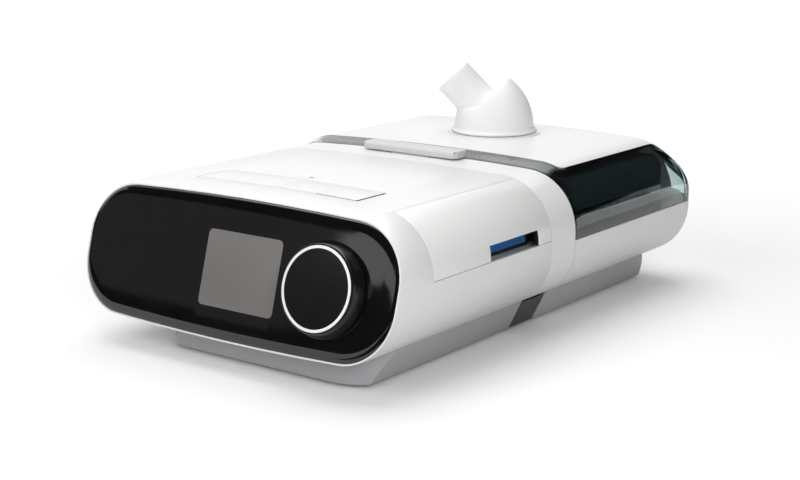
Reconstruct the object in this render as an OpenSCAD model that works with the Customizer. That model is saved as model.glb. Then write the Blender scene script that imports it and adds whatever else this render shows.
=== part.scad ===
// Bilevel PAP machine: therapy unit with a heated humidifier docked behind it.
// X runs to the right as seen from the front, Y to the back, Z up, with the feet at z = 0.

/* [Enclosure] */
// Width of the enclosure
body_w = 193; // [186:1:200]
// Depth of the therapy unit, from the lower front edge to the docking joint
unit_d = 157; // [154:1:165]
// Depth of the humidifier behind the docking joint
humid_d = 134.7; // [132:0.1:142]
// Height of the enclosure's underside above the table
belly_z = 13.5; // [13:0.1:14.5]
// Height of the therapy unit's top at the centre line
top_z = 81.4; // [80.5:0.1:83]
// Height of the humidifier lid at the centre line
lid_top_z = 84.2; // [83.4:0.1:86]
// Radius of the long rounded corners of the cross-section
section_r = 29; // [28:0.5:30]
// Rise of the gently crowned top and underside
crown = 1.4; // [1:0.1:1.8]
// Thickness of the moulded walls
wall = 2.4; // [2:0.1:2.6]
// Gap where two fixed mouldings meet in a visible seam
seam = 0.3; // [0.2:0.05:0.5]
// Clearance round a moving piece
run_gap = 0.3; // [0.25:0.05:0.4]
// Radial clearance of a pin or shaft in its bore
pin_gap = 0.05; // [0.03:0.01:0.1]

/* [Front panel] */
// Lean of the front panel, in degrees
panel_tilt = 16; // [14:0.5:18]
// Distance of the front panel's ends from the enclosure's sides
panel_in = 1; // [1:0.5:4]
// Height of the black front panel, along its lean
panel_h = 65.8; // [64:0.2:66]
// Corner radius of the front panel
panel_r = 26.6; // [24:0.2:27]
// Thickness of the front panel
panel_t = 2.6; // [2.2:0.1:3]
// Height of the raised face over the panel's edge
face_h = 1.6; // [1:0.1:2]
// Width of the sloped border round the raised face
bevel_w = 7; // [5:0.5:9]
// Length of the shell's tapered nose
nose_l = 6; // [4:0.5:8]
// Width of the white lip that shows round the panel
lip_w = 0.9; // [0.6:0.1:1]
// Width of the display window
screen_w = 46; // [42:0.5:48]
// Height of the display window
screen_h = 36; // [33:0.5:38]
// Place of the display window's centre along the panel
screen_u = 5; // [3:0.5:7]

/* [Control dial] */
// Radius of the dial's face
dial_r = 20; // [18:0.5:20.5]
// Radius of the dial at its foot
dial_foot_r = 22; // [21:0.5:22.5]
// Height of the dial's face over the panel's edge
dial_h = 9; // [8:0.5:11]
// Place of the dial's axis along the panel
dial_u = 58; // [56:0.5:60]
// Place of the dial's axis up the panel
dial_v = -0.8; // [-2:0.2:2]
// Width of the white ring in the dial's face
ring_w = 2.2; // [1.6:0.1:2.8]
// Travel of the dial when it is pressed
dial_travel = 0.5; // [0.3:0.1:0.5]
// Radius of the dial's shaft
dial_shaft_r = 2; // [1.6:0.1:2.2]

/* [Top buttons] */
// Overall width of the pair of top buttons
buttons_w = 99; // [90:1:104]
// Depth of the top buttons
buttons_d = 22.5; // [20:0.5:26]
// Distance of the buttons' front edge behind the panel's lower edge
buttons_y = 39; // [37:0.5:42]
// Travel of a top button
button_travel = 0.5; // [0.3:0.1:0.5]
// Width of the open slot at the right-hand end of the buttons
end_slot_w = 1.4; // [1:0.1:2]

/* [Side door] */
// Distance of the door's front edge behind the panel's lower edge
door_y = 35; // [33:0.5:40]
// Height of the door's lower edge
door_z = 50.6; // [50.2:0.1:51]
// Radius of the door's hinge knuckle
knuckle_r = 3.5; // [3:0.1:3.6]
// Angle that the door opens to, in degrees
door_swing = 65; // [50:1:75]
// Length of the air inlet slot
slot_l = 41.5; // [38:0.5:44]
// Height of the air inlet slot
slot_h = 7.5; // [7:0.1:8]
// Distance from the inlet slot to the door's rear edge
slot_end = 12; // [10:0.5:14]
// Depth of the rear cover moulding between the door and the docking joint
rear_cover_d = 23; // [21:0.5:25]

/* [Plinth] */
// Distance of the plinth's lower edge in from the enclosure's side
plinth_in = 24.5; // [22.5:0.5:25.5]
// Distance of the plinth's upper edge in from the enclosure's side
plinth_top_in = 16.5; // [14.5:0.5:17.5]
// Thickness of the rubber feet below the plinth
foot_h = 2; // [1.6:0.1:2.4]
// Distance of the plinth's front behind the panel's lower edge
plinth_front = 13.5; // [12:0.5:16]
// Distance of the plinth's rear edge from the back of the humidifier
plinth_rear = 14; // [12:0.5:18]
// Inward travel of the humidifier release button
release_travel = 1.5; // [1:0.1:1.8]

/* [Humidifier] */
// Height of the parting line between the lid and the base
part_z = 46.6; // [46:0.1:47.2]
// Distance from the enclosure's side to the tinted window's upper edge
window_in = 19.5; // [18:0.5:21]
// Length of the tinted strip across the front of the lid
strip_d = 10; // [9:0.5:11]
// Length over which the lid's top curves down to the back
rear_curve_l = 50; // [44:1:56]
// Height of the lid's curved back
rear_curve_h = 34; // [31:1:35]
// Radius of the lower rear edge seen from the side
rear_low_r = 24; // [20:1:25]
// Radius of the rear corners seen from above
rear_r = 24; // [20:1:26]
// Angle that the lid opens to, in degrees
lid_swing = 85; // [70:1:90]
// Height of the water tub
tub_h = 38; // [36:0.5:40]
// Height of the dark tank lid
tank_lid_h = 15; // [13:0.5:15.5]

/* [Outlet elbow] */
// Outer radius of the hose tube, for a standard 22 mm hose cuff
tube_r = 11; // [10.8:0.1:11.2]
// Bore radius of the hose tube
tube_bore_r = 9.2; // [8.8:0.1:9.4]
// Length of the hose tube past the elbow's shoulder
tube_l = 22.5; // [20:0.5:26]
// Radius of the elbow's dome at its foot
dome_r = 22.3; // [21.5:0.1:22.8]
// Radius of the elbow's flange
flange_r = 24.6; // [24:0.1:25.4]
// Distance of the elbow's axis in front of the humidifier's back
elbow_back = 67.5; // [64:0.5:70]
// Direction that the hose tube points in, in degrees from the left towards the front
tube_turn = 27; // [0:1:90]

/* [Latch] */
// Width of the lid latch
latch_w = 70; // [60:1:76]
// Length of the latch from front to back
latch_l = 13; // [11.5:0.5:14]
// Thickness of the latch
latch_t = 3.7; // [3.4:0.1:4]

/* [Blower] */
// Radius of the blower's wheel
wheel_r = 30; // [26:1:31]
// Number of blades on the wheel
blade_count = 11; // [7:1:15]
// Radius of the spiral housing where it begins
volute_r = 33.5; // [33:0.5:34]
// Growth of the spiral housing over one turn
volute_grow = 7; // [5:0.5:8]
// Radius of the blower's motor
motor_r = 16; // [14:0.5:18]

/* [Hidden] */
$fn = 64;
eps = 0.01;
corner_steps = 12;
crown_steps = 3;

// Places along the depth
face_z = (top_z + belly_z) / 2 - 0.45;
ring_rim = 0.3;
ring_proud = 0.15;
ring_depth = 0.6;
dial_reach = (dial_r - ring_rim - dial_v - panel_h / 2) * sin(panel_tilt)
    + (dial_h + ring_proud) * cos(panel_tilt);
front_y = -(dial_reach + unit_d + humid_d) / 2 + dial_reach;
joint_y = front_y + unit_d;
rear_y = joint_y + humid_d;
face_y = front_y + panel_h / 2 * sin(panel_tilt);
seam_y = joint_y - rear_cover_d;
body_h = top_z - belly_z;
body_mid = (top_z + belly_z) / 2;
corner_x = body_w / 2 - section_r;
panel_w = body_w - 2 * panel_in;
plinth_w = body_w / 2 - plinth_in;
plinth_top_w = body_w / 2 - plinth_top_in;
plinth_h = 15.7;
corner_up_z = body_mid + pill_cz(body_w, body_h, section_r, crown);
tray_z = foot_h;
tray_floor = tray_z + wall;
belly_open = corner_x - 7.5;

// Side door hinge: the knuckle's top lies in the enclosure's outer surface
hinge_x = corner_x + 8.1;
hinge_z = corner_up_z + sqrt((section_r - knuckle_r) ^ 2 - (hinge_x - corner_x) ^ 2);
// Widest reach of the door's outer surface round the hinge at half its swing, plus clearance
door_sweep_r = sqrt(section_r ^ 2 - ((section_r - knuckle_r) * sin(door_swing / 2)) ^ 2)
    - (section_r - knuckle_r) * cos(door_swing / 2) + run_gap;
door_y0 = front_y + door_y;
door_pin_r = 1.3;
slot_y1 = seam_y - slot_end;
slot_y0 = slot_y1 - slot_l;

// Side bay with the filter and the card reader
bay_x = body_w / 2 - 16.5;
bay_t = 1.6;
bay_top_z = hinge_z - 2.6;
filter_t = 6;
filter_z0 = door_z - 1.3;
filter_h = 16.5;
filter_y0 = slot_y0 - 6;
filter_l = slot_l + 10;
card_w = 24;
card_l = 32;
card_t = 2.1;
card_z = 61;
card_y = door_y0 + 17;
card_out = 4.9;

// Top buttons
btn_y0 = front_y + buttons_y;
btn_y1 = btn_y0 + buttons_d;
btn_t = 2.2;
switch_top = 73.3;
board_z = 70;
board_t = 1.6;

// Display electronics, on the panel's frame
lcd_w = 56;
lcd_h = 42;
lcd_glass = 3;
lcd_back = -(panel_t + 4.7);
pcb_t = 1.6;
pcb_u0 = -80;
pcb_u1 = 90;
pcb_v = 22;
pcb_cut = 8;
panel_posts = [[-72, 17], [-72, -17], [84, 12], [84, -12]];
encoder_w = 13;
bushing_r = 4.6;

// Blower
blower_x = -30;
blower_y = front_y + 87;
blower_z = 18;
blower_h = 18;
port_x = blower_x + volute_r + volute_grow - 7;
port_z = blower_z + blower_h / 2 + 1;
port_r = 8;
duct_r = 10;
cover_t = 2.4;
motor_h = 16;
motor_shaft_r = 2;
mount_d = 21;
main_board_z = 58;
foam_x0 = 18;
foam_x1 = 52;

// Humidifier
lid_bead_r = 3.4;
lid_hinge_y = rear_y - lid_bead_r;
lid_hinge_z = part_z;
lid_sweep_r = lid_bead_r / cos(lid_swing / 2) + run_gap;
lid_pin_r = 1.55;
ear_x = 46;
ear_w = 10;
pin_l = 24;
cover_w = body_w / 2 - window_in;
back_w = corner_x + 4.5;
strip_y = joint_y + strip_d;
lid_y0 = joint_y + 0.5;
box_x = body_w / 2 - 8;
box_y0 = joint_y + 5;
box_y1 = rear_y - 20.5;
box_floor = 17;
rim_z = part_z - 0.6;
rib_in = body_w / 2 - 9;
seal_h = 1.3;
tub_inset = 5.2;
tub_x = body_w / 2 - 10.5;
tub_z = box_floor + 2.4;
tub_y0 = box_y0 + 5;
tub_y1 = box_y1 - 7;
tub_wall = 1.8;
tank_top = tub_z + tub_h + 0.9 + tank_lid_h;
plate_l = 112;
plate_w = 72;
plate_y = (tub_y0 + tub_y1) / 2;
plate_t = 3;
plate_top = tub_z - 0.15;
spring_xy = [for (sx = [-1, 1], sy = [-1, 1])
    [sx * (plate_l / 2 - 12), plate_y + sy * (plate_w / 2 - 12)]];
power_x = -22;
power_z = 34;
power_y = rear_y - 0.8;
power_r = 5;
power_bore_r = 2.8;

// Elbow
elbow_y = rear_y - elbow_back;
elbow_x = 2.5;
elbow_seat = lid_top_z + 0.4;
spigot_r = 19.7;
spigot_bore_r = 16;
tube_rise = 45;
tube_z = elbow_seat + 7;
shoulder_l = 11.3;

// Latch
latch_y = joint_y + 1.5;
latch_z = top_z + 2.6;
latch_pin_r = 0.7;

// Fasteners
screw_r = 1.45;
screw_head_r = 2.8;
unit_post_x = corner_x - 1.5;
humid_post_x = corner_x + 0.5;
foot_x = corner_x - 11.5;
unit_posts = [[unit_post_x, joint_y - 58], [unit_post_x, front_y + 36],
    [-unit_post_x, joint_y - 38], [-unit_post_x + 2, front_y + 50]];
humid_boss_z = box_floor - 0.3;
humid_posts = [for (sx = [-1, 1], y = [joint_y + 22, rear_y - 36]) [sx * humid_post_x, y]];
unit_feet_xy = [[foot_x, front_y + 30], [foot_x, joint_y - 12], [-foot_x, joint_y - 12],
    [-38, front_y + 32]];
humid_feet_xy = [for (sx = [-1, 1], y = [joint_y + 10, rear_y - 32]) [sx * foot_x, y]];

// Colours as the photograph shows them
white = [0.93, 0.93, 0.93];
grey = [0.6, 0.6, 0.61];
black = [0.07, 0.07, 0.08];
dark = [0.2, 0.21, 0.22];
steel = [0.7, 0.71, 0.73];
green = [0.1, 0.35, 0.2];
tint = [0.35, 0.52, 0.52, 0.6];
clear = [0.75, 0.82, 0.85, 0.5];
rubber = [0.25, 0.25, 0.26];

// Crowned round-cornered outlines

// Radius of the flat crown arc of a pill outline
function pill_crown_r(w, r, c) = (w / 2 - r) ^ 2 / (2 * c) + c / 2;

// Height of the corner centres over the middle of a pill outline
function pill_cz(w, h, r, c) =
    h / 2 - pill_crown_r(w, r, c) + sqrt((pill_crown_r(w, r, c) - r) ^ 2 - (w / 2 - r) ^ 2);

// Points of an arc about a centre
function arc(c, r, a0, a1, n = 8) =
    [for (i = [0:n]) c + r * [cos(a0 + (a1 - a0) * i / n), sin(a0 + (a1 - a0) * i / n)]];

// Quarter of a pill outline: the corner arc and its half of the crown, counter-clockwise
function pill_quarter(w, h, r, c, inset) =
    let (crown_r = pill_crown_r(w, r, c), cx = w / 2 - r, cz = pill_cz(w, h, r, c),
        lean = asin(cx / (crown_r - r)))
    concat(arc([cx, cz], r - inset, 0, 90 - lean, corner_steps),
        [for (i = [1:crown_steps]) let (a = lean * (1 - i / crown_steps))
            [0, h / 2 - crown_r] + (crown_r - inset) * [sin(a), cos(a)]]);

// Points of a rounded outline with a slight crown above and below, whose arcs meet at a tangent
function pill_points(w, h, r, c, inset) =
    let (q = pill_quarter(w, h, r, c, inset), n = len(q) - 1)
    concat(q, [for (i = [n - 1:-1:0]) [-q[i][0], q[i][1]]],
        [for (i = [0:n]) -q[i]], [for (i = [n - 1:-1:0]) [q[i][0], -q[i][1]]]);

module pill(w, h, r, c, inset = 0) {
    polygon(pill_points(w, h, r, c, inset));
}

// Extrusion of an XZ outline from y0 to y1
module along_y(y0, y1) {
    translate([0, y1, 0]) rotate([90, 0, 0]) linear_extrude(y1 - y0) children();
}

// Extrusion of a YZ outline from x0 to x1
module along_x(x0, x1) {
    translate([x0, 0, 0]) rotate([90, 0, 90]) linear_extrude(x1 - x0) children();
}

// Box given by its lowest and highest corners
module span(a, b) {
    translate(a) cube(b - a);
}

// Upright cylinder from z0 to z1
module post(p, r, z0, z1) {
    translate([p[0], p[1], z0]) cylinder(r = r, h = z1 - z0);
}

// Cylinder along X at a place in the YZ plane
module rod_x(y, z, r, x0, x1) {
    translate([x0, y, z]) rotate([0, 90, 0]) cylinder(r = r, h = x1 - x0);
}

// Cylinder along Y at a place in the XZ plane
module rod_y(x, z, r, y0, y1) {
    translate([x, y0, z]) rotate([-90, 0, 0]) cylinder(r = r, h = y1 - y0);
}

// The enclosure's cross-section as a solid from y0 to y1
module enclosure(y0, y1, inset = 0) {
    along_y(y0, y1) translate([0, body_mid]) pill(body_w, body_h, section_r, crown, inset);
}

// Frame of the leaning front panel: X along it, Y up it, Z out of it
module on_panel() {
    translate([0, face_y, face_z]) rotate([90 - panel_tilt, 0, 0]) children();
}

// The panel's outline as a slab from w0 to w1 along the panel's normal
module panel_slab(w0, w1, grow = 0) {
    translate([0, 0, w0]) linear_extrude(w1 - w0)
        pill(panel_w, panel_h, panel_r, crown, -grow);
}

// Block on the panel's frame
module panel_block(u0, u1, v0, v1, w0, w1) {
    translate([u0, v0, w0]) cube([u1 - u0, v1 - v0, w1 - w0]);
}

// Outer form of the therapy unit's shell: the straight run and its tapered nose
module housing_form() {
    difference() {
        enclosure(front_y - 20, seam_y);
        on_panel() translate([-200, -200, -nose_l]) cube([400, 400, 100]);
    }
    hull() {
        intersection() {
            enclosure(front_y - 20, seam_y);
            on_panel() translate([-200, -200, -nose_l]) cube([400, 400, eps]);
        }
        on_panel() panel_slab(-eps, 0, lip_w);
    }
}

// Opening of the side door: the space that its knuckle sweeps, and all to the right of it
module door_opening(y0, y1) {
    along_y(y0, y1) {
        translate([hinge_x, hinge_z]) circle(door_sweep_r);
        translate([hinge_x, door_z - run_gap]) square([60, 60]);
    }
}

// Plan outline of the plinth: one front corner is round, the other is cut back
module plinth_plan(y0, y1, w, nose) {
    r = 22;
    cut = 39;
    if (nose) {
        polygon(concat([[-w, y1], [-w, y0 + cut + 2], [-w + cut, y0]],
            arc([w - r, y0 + r], r, -90, 0), [[w, y1]]));
    } else {
        polygon(concat([[-w, y0], [w, y0]], arc([w - r, y1 - r], r, 0, 90),
            arc([-w + r, y1 - r], r, 90, 180)));
    }
}

// Plinth solid with sloping sides, from the feet up into the enclosure
module plinth(y0, y1, inset, z0, nose) {
    slope = (plinth_top_w - plinth_w) / plinth_h;
    low = z0 - tray_z;
    high = 20 - tray_z;
    w = plinth_w - inset;
    intersection() {
        along_y(y0, y1) polygon([[-w - slope * low, z0], [w + slope * low, z0],
            [w + slope * high, 20], [-w - slope * high, 20]]);
        translate([0, 0, z0]) linear_extrude(30)
            plinth_plan(y0 + (nose ? inset : 0), y1 - (nose ? 0 : inset),
                plinth_top_w + 1 - inset, nose);
    }
}

// Pan-head screw standing on its head
module screw(p, z, l, r = screw_r, head_r = screw_head_r, head_h = 2.2) {
    post(p, head_r, z, z + head_h);
    post(p, r, z + head_h - eps, z + head_h + l);
}

// Therapy unit

// White wraparound shell with the openings for the door, the buttons and the panel
module main_housing() {
    boss_y = [btn_y0 + 4, btn_y1 - 4];
    color(white) difference() {
        union() {
            difference() {
                housing_form();
                intersection() {
                    enclosure(front_y - 30, seam_y + 1, wall);
                    union() {
                        span([-200, front_y + 14, -10], [200, seam_y + 1, 200]);
                        on_panel() translate([-200, -200, -60]) cube([400, 400, 80]);
                    }
                }
            }
            // Bosses for the button board, under the top wall
            intersection() {
                enclosure(front_y, seam_y, wall - eps);
                for (sx = [-1, 1], y = boss_y) screw_boss_down([sx * (buttons_w / 2 + 5), y], 3);
            }
            // Posts that the tray's screws turn into
            for (p = unit_posts) post(p, 4, belly_z + wall, belly_z + wall + 11);
            // Cheek that holds the front door pin
            intersection() {
                enclosure(front_y, seam_y, wall / 2);
                span([hinge_x - 5, door_y0 - 7, hinge_z - 5], [hinge_x + 5, door_y0 - seam, top_z]);
            }
        }
        on_panel() panel_slab(-panel_t, 20, 0.1);
        door_opening(door_y0, seam_y + 1);
        rod_y(hinge_x, hinge_z, door_pin_r + pin_gap, door_y0 - 5, door_y0 + 1);
        // Opening of the two top buttons, wider at its right-hand end
        span([-buttons_w / 2 - run_gap, btn_y0 - run_gap, 60],
            [buttons_w / 2 + end_slot_w, btn_y1 + run_gap, 100]);
        post([0, btn_y1 + 6], 1.25, 70, 90);
        // Open underside that the tray closes
        linear_extrude(20)
            plinth_plan(front_y + plinth_front + 6, seam_y + 1, belly_open, true);
        for (p = unit_posts) post(p, screw_r + pin_gap, 0, belly_z + wall + 9.5);
        for (sx = [-1, 1], y = boss_y)
            post([sx * (buttons_w / 2 + 5), y], 1.2, board_z, board_z + board_t + 5);
    }
}

// Boss that hangs from the top wall down to the button board
module screw_boss_down(p, r) {
    post(p, r, board_z + board_t, 90);
}

// Grey lower tray of the therapy unit
module base_tray() {
    y0 = front_y + plinth_front;
    y1 = joint_y - 0.2;
    color(grey) difference() {
        union() {
            difference() {
                plinth(y0, y1, 0, tray_z, true);
                plinth(y0, y1 - wall, wall, tray_floor, true);
            }
            intersection() {
                for (p = unit_posts) post(p, 5, tray_z + eps, 20);
                plinth(y0, y1, 0, tray_z, true);
            }
        }
        enclosure(y0 - 1, y1 + 1);
        for (p = unit_posts) {
            post(p, screw_r + pin_gap, 0, 30);
            post(p, screw_head_r + 0.2, 0, tray_z + 4);
        }
        for (p = unit_feet_xy) post(p, 7.1, 0, tray_z + 0.6);
        // Opening of the release button in the right-hand wall
        span([plinth_w - 9, seam_y + 0.3, 0], [90, joint_y - 0.6, 30]);
    }
}

// White moulding behind the door that carries the docking wall
module rear_cover() {
    y0 = seam_y + seam;
    y1 = joint_y - 0.2;
    color(white) difference() {
        union() {
            difference() {
                enclosure(y0, y1);
                enclosure(y0 - 1, y1 - wall, wall);
                span([-belly_open, y0 - 1, 0], [belly_open, y1 - wall, 20]);
            }
            // Cheek that holds the rear door pin
            intersection() {
                enclosure(y0, y1, wall / 2);
                span([hinge_x - 5, y0, hinge_z - 5], [hinge_x + 5, y0 + 6, top_z]);
            }
        }
        rod_y(hinge_x, hinge_z, door_pin_r + pin_gap, y0 - 1, y0 + 4.5);
        rod_y(port_x, port_z, port_r + 0.5, y1 - 10, y1 + 1);
        // Pocket that the latch drops into
        span([-13, latch_y - 11.6, top_z - 1.9], [13, latch_y - 7.2, 100]);
    }
}

// Black front panel with a raised face and a sloped border
module front_panel() {
    color(black) on_panel() difference() {
        union() {
            panel_slab(-panel_t, 0);
            hull() {
                panel_slab(-eps, 0);
                panel_slab(face_h - eps, face_h, -bevel_w);
            }
            for (p = panel_posts) translate([p[0], p[1], lcd_back]) cylinder(r = 3, h = -lcd_back - 1);
        }
        translate([screen_u - screen_w / 2 - 0.1, -screen_h / 2 - 0.1, -20])
            cube([screen_w + 0.2, screen_h + 0.2, 40]);
        translate([dial_u, dial_v, -20]) cylinder(r = 11, h = 40);
        for (p = panel_posts) translate([p[0], p[1], lcd_back - 1]) cylinder(r = 1.2, h = 5);
    }
}

// Grey display window
module screen_lens() {
    color([0.45, 0.44, 0.44]) on_panel()
        panel_block(screen_u - screen_w / 2, screen_u + screen_w / 2, -screen_h / 2, screen_h / 2,
            -panel_t, face_h);
}

// Display module behind the window
module lcd_module() {
    color(dark) on_panel() {
        panel_block(screen_u - lcd_w / 2, screen_u + lcd_w / 2, -lcd_h / 2, lcd_h / 2,
            lcd_back, -panel_t - 1);
        panel_block(screen_u - lcd_w / 2 + lcd_glass, screen_u + lcd_w / 2 - lcd_glass,
            -lcd_h / 2 + lcd_glass / 2, lcd_h / 2 - lcd_glass / 2, -panel_t - 1, -panel_t);
    }
}

// Circuit board behind the panel, with its connectors
module display_board() {
    color(green) on_panel() {
        difference() {
            translate([0, 0, lcd_back - pcb_t]) linear_extrude(pcb_t)
                polygon([[pcb_u0, -pcb_v], [pcb_u1 - pcb_cut, -pcb_v], [pcb_u1, -pcb_v + pcb_cut],
                    [pcb_u1, pcb_v - pcb_cut], [pcb_u1 - pcb_cut, pcb_v], [pcb_u0, pcb_v]]);
            for (p = panel_posts) translate([p[0], p[1], -20]) cylinder(r = 1.5, h = 40);
        }
        panel_block(-60, -40, -8, -2, lcd_back - pcb_t - 5, lcd_back - pcb_t);
        panel_block(20, 34, -10, 4, lcd_back - pcb_t - 1.2, lcd_back - pcb_t);
    }
}

// Screws that hold the display board on the panel's posts
module display_screws() {
    color(steel) on_panel() for (p = panel_posts) {
        translate([p[0], p[1], lcd_back - pcb_t - 1.4]) cylinder(r = 2.4, h = 1.4);
        translate([p[0], p[1], lcd_back - pcb_t - eps]) cylinder(r = 1.15, h = 5);
    }
}

// Rotary encoder on the display board, with its round bushing
module encoder_body() {
    color(steel) on_panel() translate([dial_u, dial_v, 0]) difference() {
        union() {
            panel_block(-encoder_w / 2, encoder_w / 2, -encoder_w / 2, encoder_w / 2,
                lcd_back, -panel_t - 0.3);
            translate([0, 0, lcd_back]) cylinder(r = bushing_r, h = 2.6 - lcd_back);
        }
        translate([0, 0, lcd_back + 1]) cylinder(r = dial_shaft_r + 0.9 + pin_gap, h = 40);
    }
}

// Plunger that the dial turns on and that slides in the encoder when the dial is pressed
module dial_plunger() {
    color(steel) on_panel() translate([dial_u, dial_v, 0]) difference() {
        translate([0, 0, lcd_back + 1.8]) cylinder(r = dial_shaft_r + 0.9, h = 4.6 - lcd_back - 1.8);
        translate([0, 0, lcd_back + 3]) cylinder(r = dial_shaft_r + pin_gap, h = 40);
    }
}

// Black dial with its groove for the ring, and the shaft under it
module dial_knob() {
    foot = face_h + dial_travel + run_gap;
    top = dial_h;
    color(black) on_panel() translate([dial_u, dial_v, 0]) {
        rotate_extrude() difference() {
            polygon(concat([[0, 4.8], [4.4, 4.8], [4.4, top - 2.2], [dial_r - 2, top - 2.2],
                [dial_foot_r - 2, foot], [dial_foot_r, foot]],
                arc([dial_r - 1, top - 1], 1, 10, 90, 4), [[0, top]]));
            translate([dial_r - ring_rim - ring_w, top - ring_depth]) square([ring_w, 2]);
        }
        translate([0, 0, lcd_back + 3.2]) cylinder(r = dial_shaft_r, h = 5 - lcd_back - 3.2);
    }
}

// White ring let into the dial's face
module dial_ring() {
    color(white) on_panel() translate([dial_u, dial_v, dial_h - ring_depth]) difference() {
        cylinder(r = dial_r - ring_rim, h = ring_depth + ring_proud);
        translate([0, 0, -1]) cylinder(r = dial_r - ring_rim - ring_w, h = 3);
    }
}

// One top button: a plate of the shell's own curve, with a stem over its switch
module top_button(x0, x1) {
    mid = (x0 + x1) / 2;
    color(white) {
        intersection() {
            difference() {
                enclosure(btn_y0 - 1, btn_y1 + 1);
                enclosure(btn_y0 - 2, btn_y1 + 2, btn_t);
            }
            span([x0, btn_y0, 60], [x1, btn_y1, 100]);
        }
        intersection() {
            enclosure(btn_y0, btn_y1, btn_t - eps);
            union() {
                span([mid - 3, (btn_y0 + btn_y1) / 2 - 3, switch_top + button_travel + 0.2],
                    [mid + 3, (btn_y0 + btn_y1) / 2 + 3, 100]);
                for (sx = [x0 + 4, x1 - 5]) span([sx, btn_y0 + 2, 75.5], [sx + 1, btn_y1 - 2, 100]);
            }
        }
    }
}

module ramp_button() {
    top_button(-buttons_w / 2, -run_gap / 2);
}

// The therapy button also has a small notch at the middle of its front edge
module therapy_button() {
    difference() {
        top_button(run_gap / 2, buttons_w / 2);
        color(white) post([buttons_w / 4, btn_y0 - 0.3], 0.9, 60, 100);
    }
}

// Light pipe of the room light sensor
module light_sensor_lens() {
    color(dark) intersection() {
        post([0, btn_y1 + 6], 1.2, top_z - 5, 90);
        enclosure(btn_y1, btn_y1 + 20, 0.1);
    }
}

// Circuit board under the top buttons
module button_board() {
    color(green) difference() {
        span([-buttons_w / 2 - 9, btn_y0, board_z], [buttons_w / 2 + 9, btn_y1 + 9, board_z + board_t]);
        for (sx = [-1, 1], y = [btn_y0 + 4, btn_y1 - 4])
            post([sx * (buttons_w / 2 + 5), y], 1.4, board_z - 1, board_z + 5);
    }
    // Sensor under the light pipe
    color(dark) span([-2, btn_y1 + 4, board_z + board_t], [2, btn_y1 + 8, top_z - 5.3]);
}

// The two push switches on the board
module button_switches() {
    for (sx = [-1, 1]) translate([sx * buttons_w / 4, (btn_y0 + btn_y1) / 2, board_z + board_t]) {
        color(dark) translate([-3, -3, 0]) cube([6, 6, 1.1]);
        color(steel) cylinder(r = 1.7, h = switch_top - board_z - board_t);
    }
}

module button_board_screws() {
    color(steel) for (sx = [-1, 1], y = [btn_y0 + 4, btn_y1 - 4])
        screw([sx * (buttons_w / 2 + 5), y], board_z - 1.4, 5.6, 1.15, 2.4, 1.4);
}

// Curved side door with its hinge knuckle and the notch of the air inlet
module side_door() {
    y0 = door_y0 + seam;
    y1 = seam_y;
    color(white) difference() {
        union() {
            difference() {
                intersection() {
                    enclosure(y0, y1);
                    along_y(y0, y1) translate([hinge_x, door_z]) square([60, 60]);
                    // The rear upper corner is rounded in plan
                    translate([0, 0, door_z]) linear_extrude(60) union() {
                        span2([0, y0], [200, y1 - 10]);
                        translate([hinge_x + 7, y1 - 10]) circle(10);
                        span2([hinge_x + 7, y1 - 11], [200, y1]);
                    }
                }
                enclosure(y0 - 1, y1 + 1, wall);
            }
            rod_y(hinge_x, hinge_z, knuckle_r, y0, y1 - 8);
        }
        // Air inlet notch in the lower edge
        span([hinge_x + 12, slot_y0, 0], [200, slot_y1, door_z + slot_h]);
        rod_y(hinge_x, hinge_z, door_pin_r + pin_gap, y0 - 1, y0 + 10);
        rod_y(hinge_x, hinge_z, door_pin_r + pin_gap, y1 - 18, y1 + 1);
    }
}

// Rectangle given by two corners
module span2(a, b) {
    translate(a) square(b - a);
}

module door_pins() {
    color(steel) {
        rod_y(hinge_x, hinge_z, door_pin_r, door_y0 - 4.8, door_y0 + 10);
        rod_y(hinge_x, hinge_z, door_pin_r, seam_y - 17.5, seam_y + seam + 4.3);
    }
}

// Recess behind the door: back plate, sill and end walls
module side_bay() {
    y0 = door_y0 + 1;
    y1 = seam_y - 0.2;
    color(grey) difference() {
        intersection() {
            enclosure(y0 - 5, y1, wall);
            union() {
                span([bay_x, y0, filter_z0 - 1.8], [bay_x + bay_t, y1, bay_top_z]);
                span([bay_x, y0, filter_z0 - 1.8], [100, y1, filter_z0 - 0.2]);
            }
        }
        // Window to the inlet duct behind the filter
        span([bay_x - 1, filter_y0 + 4, filter_z0 + 3],
            [bay_x + 3, filter_y0 + filter_l - 4, filter_z0 + filter_h - 3]);
        // Slot of the memory card
        span([bay_x - 1, card_y - card_w / 2 - 0.4, card_z - 0.4],
            [bay_x + 3, card_y + card_w / 2 + 0.4, card_z + card_t + 0.4]);
    }
}

// Frame that the filter pad is pressed into
module filter_frame() {
    x0 = bay_x + bay_t;
    color(dark) difference() {
        span([x0, filter_y0, filter_z0], [x0 + filter_t, filter_y0 + filter_l, filter_z0 + filter_h]);
        span([x0 + 0.8, filter_y0 + 1.6, filter_z0 + 1.6],
            [x0 + 20, filter_y0 + filter_l - 1.6, filter_z0 + filter_h - 1.6]);
        span([x0 - 1, filter_y0 + 4, filter_z0 + 4],
            [x0 + 20, filter_y0 + filter_l - 4, filter_z0 + filter_h - 4]);
    }
}

// Blue filter pad
module pollen_filter() {
    x0 = bay_x + bay_t + 0.8;
    color([0.1, 0.3, 0.55]) span([x0, filter_y0 + 1.6, filter_z0 + 1.6],
        [x0 + filter_t - 1.2, filter_y0 + filter_l - 1.6, filter_z0 + filter_h - 1.6]);
}

module sd_reader() {
    color(steel) difference() {
        span([bay_x - 28.6, card_y - card_w / 2 - 2, card_z - 1.6],
            [bay_x, card_y + card_w / 2 + 2, card_z + card_t + 1.6]);
        span([bay_x - 27.4, card_y - card_w / 2 - run_gap, card_z - run_gap],
            [bay_x + 1, card_y + card_w / 2 + run_gap, card_z + card_t + run_gap]);
    }
}

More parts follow.
